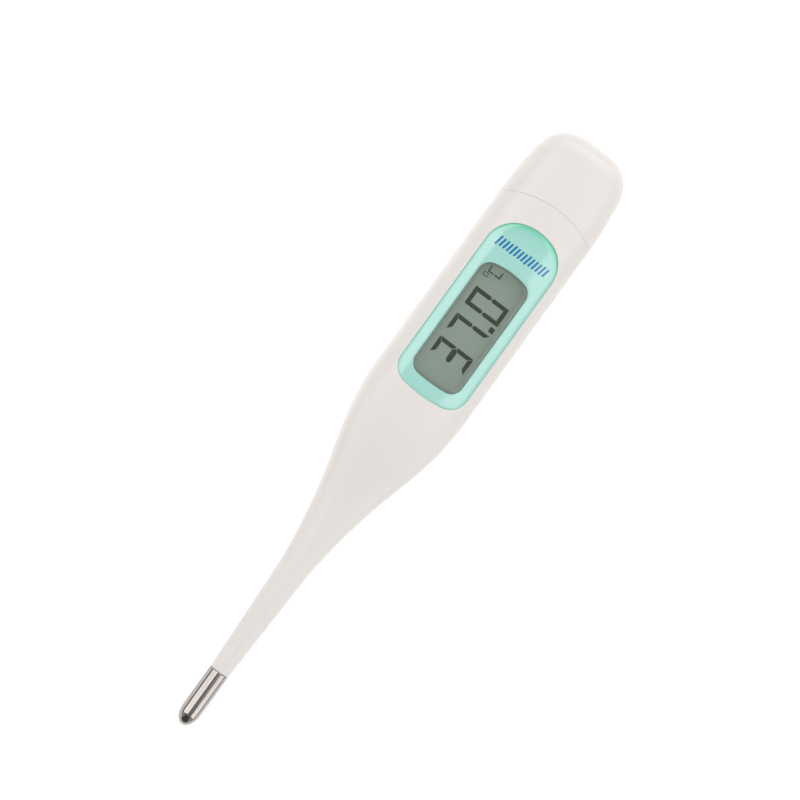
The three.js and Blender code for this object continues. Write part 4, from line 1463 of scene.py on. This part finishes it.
class THERMOMETER_OT_stage(bpy.types.Operator):
    """Set up the floor, the soft light and the camera"""

    bl_idname = "thermometer.stage"
    bl_label = "Stage"

    FLOOR_RADIUS = 4.0
    # Where the camera aims, from the object's middle towards the picture's right and top.
    AIM_RIGHT, AIM_UP = 1.95, 6.59
    # Each box's name, low and high angle from overhead, start and end along the axis, brightness.
    BOX_DISTANCE = 0.6
    BOXES = (
        ("handle_box_right", 9, 33, -0.075, 0.34, 2.2),
        ("handle_box_left", -29, -7, -0.075, 0.34, 2.5),
        ("tip_box_right", 32, 84, -0.33, -0.075, 1.6),
        ("tip_box_left", -71, -13, -0.33, -0.075, 1.7),
    )
    END_BOX_RISE, END_BOX_SIZE, END_BOX_BRIGHTNESS = 30, (0.5, 0.2), 2.8
    CARDS = (
        ("card_left", (-0.45, 0.6, 0.0), (-0.03, 0.61, 0.12)),
        ("card_right", (-0.45, -0.61, 0.0), (-0.03, -0.6, 0.12)),
        ("card_front", (-0.7, -0.5, 0.03), (-0.69, 0.5, 1.0)),
    )

    def execute(self, context):
        settings = bpy.context.scene.studio_settings
        self.floor()
        self.room(settings)
        self.camera(settings)
        self.lights()
        self.dark_cards()
        return {"FINISHED"}

    def floor(self):
        """A plain pale floor with a little light of its own."""
        mesh = bmesh.new()
        bmesh.ops.create_circle(mesh, cap_ends=True, segments=96, radius=self.FLOOR_RADIUS)
        floor = put_in_scene("studio_floor", mesh)
        paper = plain_finish("white_paper", (0.93, 0.93, 0.93, 1), 0.8, 60.0, 0.004, 0.03, 2.0, 0.01,
                             specular_ior_level=0.1, emission_color=(1, 1, 1, 1), emission_strength=0.32)
        floor.data.materials.append(paper.material)

    def room(self, settings):
        """An even, pale room, brighter at the sides than overhead."""
        world = bpy.data.worlds.new("studio_room")
        bpy.context.scene.world = world
        world.use_nodes = True
        tree = world.node_tree
        background = tree.nodes["Background"]
        place = tree.nodes.new("ShaderNodeTexCoord")
        split = tree.nodes.new("ShaderNodeSeparateXYZ")
        ramp = tree.nodes.new("ShaderNodeMapRange")
        ramp.interpolation_type = "SMOOTHSTEP"
        tree.links.new(place.outputs["Generated"], split.inputs[0])
        tree.links.new(split.outputs["Z"], ramp.inputs["Value"])
        for socket, value in (("From Min", 0.1), ("From Max", 0.75),
                              ("To Min", settings.horizon), ("To Max", settings.overhead)):
            ramp.inputs[socket].default_value = value
        tree.links.new(ramp.outputs[0], background.inputs["Strength"])
        background.inputs["Color"].default_value = (1.0, 0.995, 0.985, 1.0)
        view = bpy.context.scene.view_settings
        view.view_transform = "Standard"
        view.look = "None"

    def camera(self, settings):
        """A long lens over the display, leaning a little towards the figures' tops."""
        data = bpy.data.cameras.new("studio_camera")
        data.lens = settings.lens
        data.sensor_width = 36.0
        data.clip_start, data.clip_end = 0.01, 20.0
        camera = new_object("studio_camera", data)
        bpy.context.scene.camera = camera
        back = Vector((0, math.sin(settings.tilt), math.cos(settings.tilt)))
        across = Vector((0, math.cos(settings.tilt), -math.sin(settings.tilt)))
        axis = Vector((1, 0, 0))
        right = axis * math.cos(settings.turn) - across * math.sin(settings.turn)
        up = axis * math.sin(settings.turn) + across * math.cos(settings.turn)
        middle = (CAD_BOX[0] + CAD_BOX[1]) / 2
        aim = middle + right * self.AIM_RIGHT * MM + up * self.AIM_UP * MM
        turn = Matrix((right, up, back)).transposed()
        camera.matrix_world = Matrix.Translation(aim + back * settings.distance) @ turn.to_4x4()

    def lights(self):
        """Soft boxes on both sides, longer ones over the handle and lower ones beside the tip."""
        reach = self.BOX_DISTANCE
        for name, low, high, start, end, brightness in self.BOXES:
            middle, half = math.radians((low + high) / 2), math.radians((high - low) / 2)
            away = Vector((0, -math.sin(middle), math.cos(middle)))
            place = away * reach + Vector((start + end, 0, 0)) / 2
            size = (end - start, 2 * reach * math.tan(half))
            self.soft_box(name, place, away, Vector((1, 0, 0)), size, brightness)
        rise = math.radians(self.END_BOX_RISE)
        away = Vector((math.cos(rise), 0, math.sin(rise)))
        self.soft_box("end_box", away * reach, away, Vector((0, 1, 0)),
                      self.END_BOX_SIZE, self.END_BOX_BRIGHTNESS)

    def soft_box(self, name, place, away, across, size, brightness):
        """A rectangular light that faces the object."""
        data = bpy.data.lights.new(name, "AREA")
        data.shape = "RECTANGLE"
        data.size, data.size_y = size
        data.energy = brightness * math.pi * data.size * data.size_y
        data.color = (1.0, 0.985, 0.97)
        box = new_object(name, data)
        box.visible_camera = False
        turn = Matrix((across, away.cross(across), away)).transposed()
        box.matrix_world = Matrix.Translation(place) @ turn.to_4x4()

    def dark_cards(self):
        """Black cards, seen only in the steel, that draw the dark lines along its sides."""
        black = plain_finish("black_card", (0.12, 0.105, 0.095, 1), 0.9, 60.0, 0.02, 0.03, 2.0, 0.01)
        for name, low, high in self.CARDS:
            corners = [((x - TIP_X) / MM, y / MM, z / MM) for x, y, z in (low, high)]
            card = block(name, *corners)
            card.data.materials.append(black.material)
            card.visible_camera = card.visible_diffuse = card.visible_shadow = False


# ------------------------------------------------------------------ panel and start


PIECES = (
    THERMOMETER_OT_housing,
    THERMOMETER_OT_end_cap,
    THERMOMETER_OT_window_frame,
    THERMOMETER_OT_clear_window,
    THERMOMETER_OT_display_figures,
    THERMOMETER_OT_printed_marks,
    THERMOMETER_OT_probe_tip,
    THERMOMETER_OT_push_button,
    THERMOMETER_OT_snap_dome,
    THERMOMETER_OT_battery_bay,
    THERMOMETER_OT_inner_parts,
    THERMOMETER_OT_stage,
)


class THERMOMETER_PT_panel(bpy.types.Panel):
    """Lists the sizes, the colours and the pieces"""

    bl_idname = "THERMOMETER_PT_panel"
    bl_label = "Digital Thermometer"
    bl_space_type = "VIEW_3D"
    bl_region_type = "UI"
    bl_category = "Thermometer"

    def draw(self, context):
        layout, scene = self.layout, context.scene
        for group in (scene.thermometer_sizes, scene.thermometer_colours, scene.studio_settings):
            column = layout.column()
            for name in type(group).__annotations__:
                column.prop(group, name)
        column = layout.column()
        for operator in PIECES:
            column.operator(operator.bl_idname)


GROUPS = {
    "thermometer_sizes": ThermometerSizes,
    "thermometer_colours": ThermometerColours,
    "studio_settings": StudioSettings,
}


def register():
    for cls in (*GROUPS.values(), *PIECES, THERMOMETER_PT_panel):
        bpy.utils.register_class(cls)
    for name, group in GROUPS.items():
        setattr(bpy.types.Scene, name, bpy.props.PointerProperty(type=group))


def unregister():
    for name in GROUPS:
        delattr(bpy.types.Scene, name)
    for cls in reversed((*GROUPS.values(), *PIECES, THERMOMETER_PT_panel)):
        bpy.utils.unregister_class(cls)


def main():
    register()
    for operator in PIECES:
        family, name = operator.bl_idname.split(".")
        getattr(getattr(bpy.ops, family), name)()


if __name__ == "__main__":
    main()
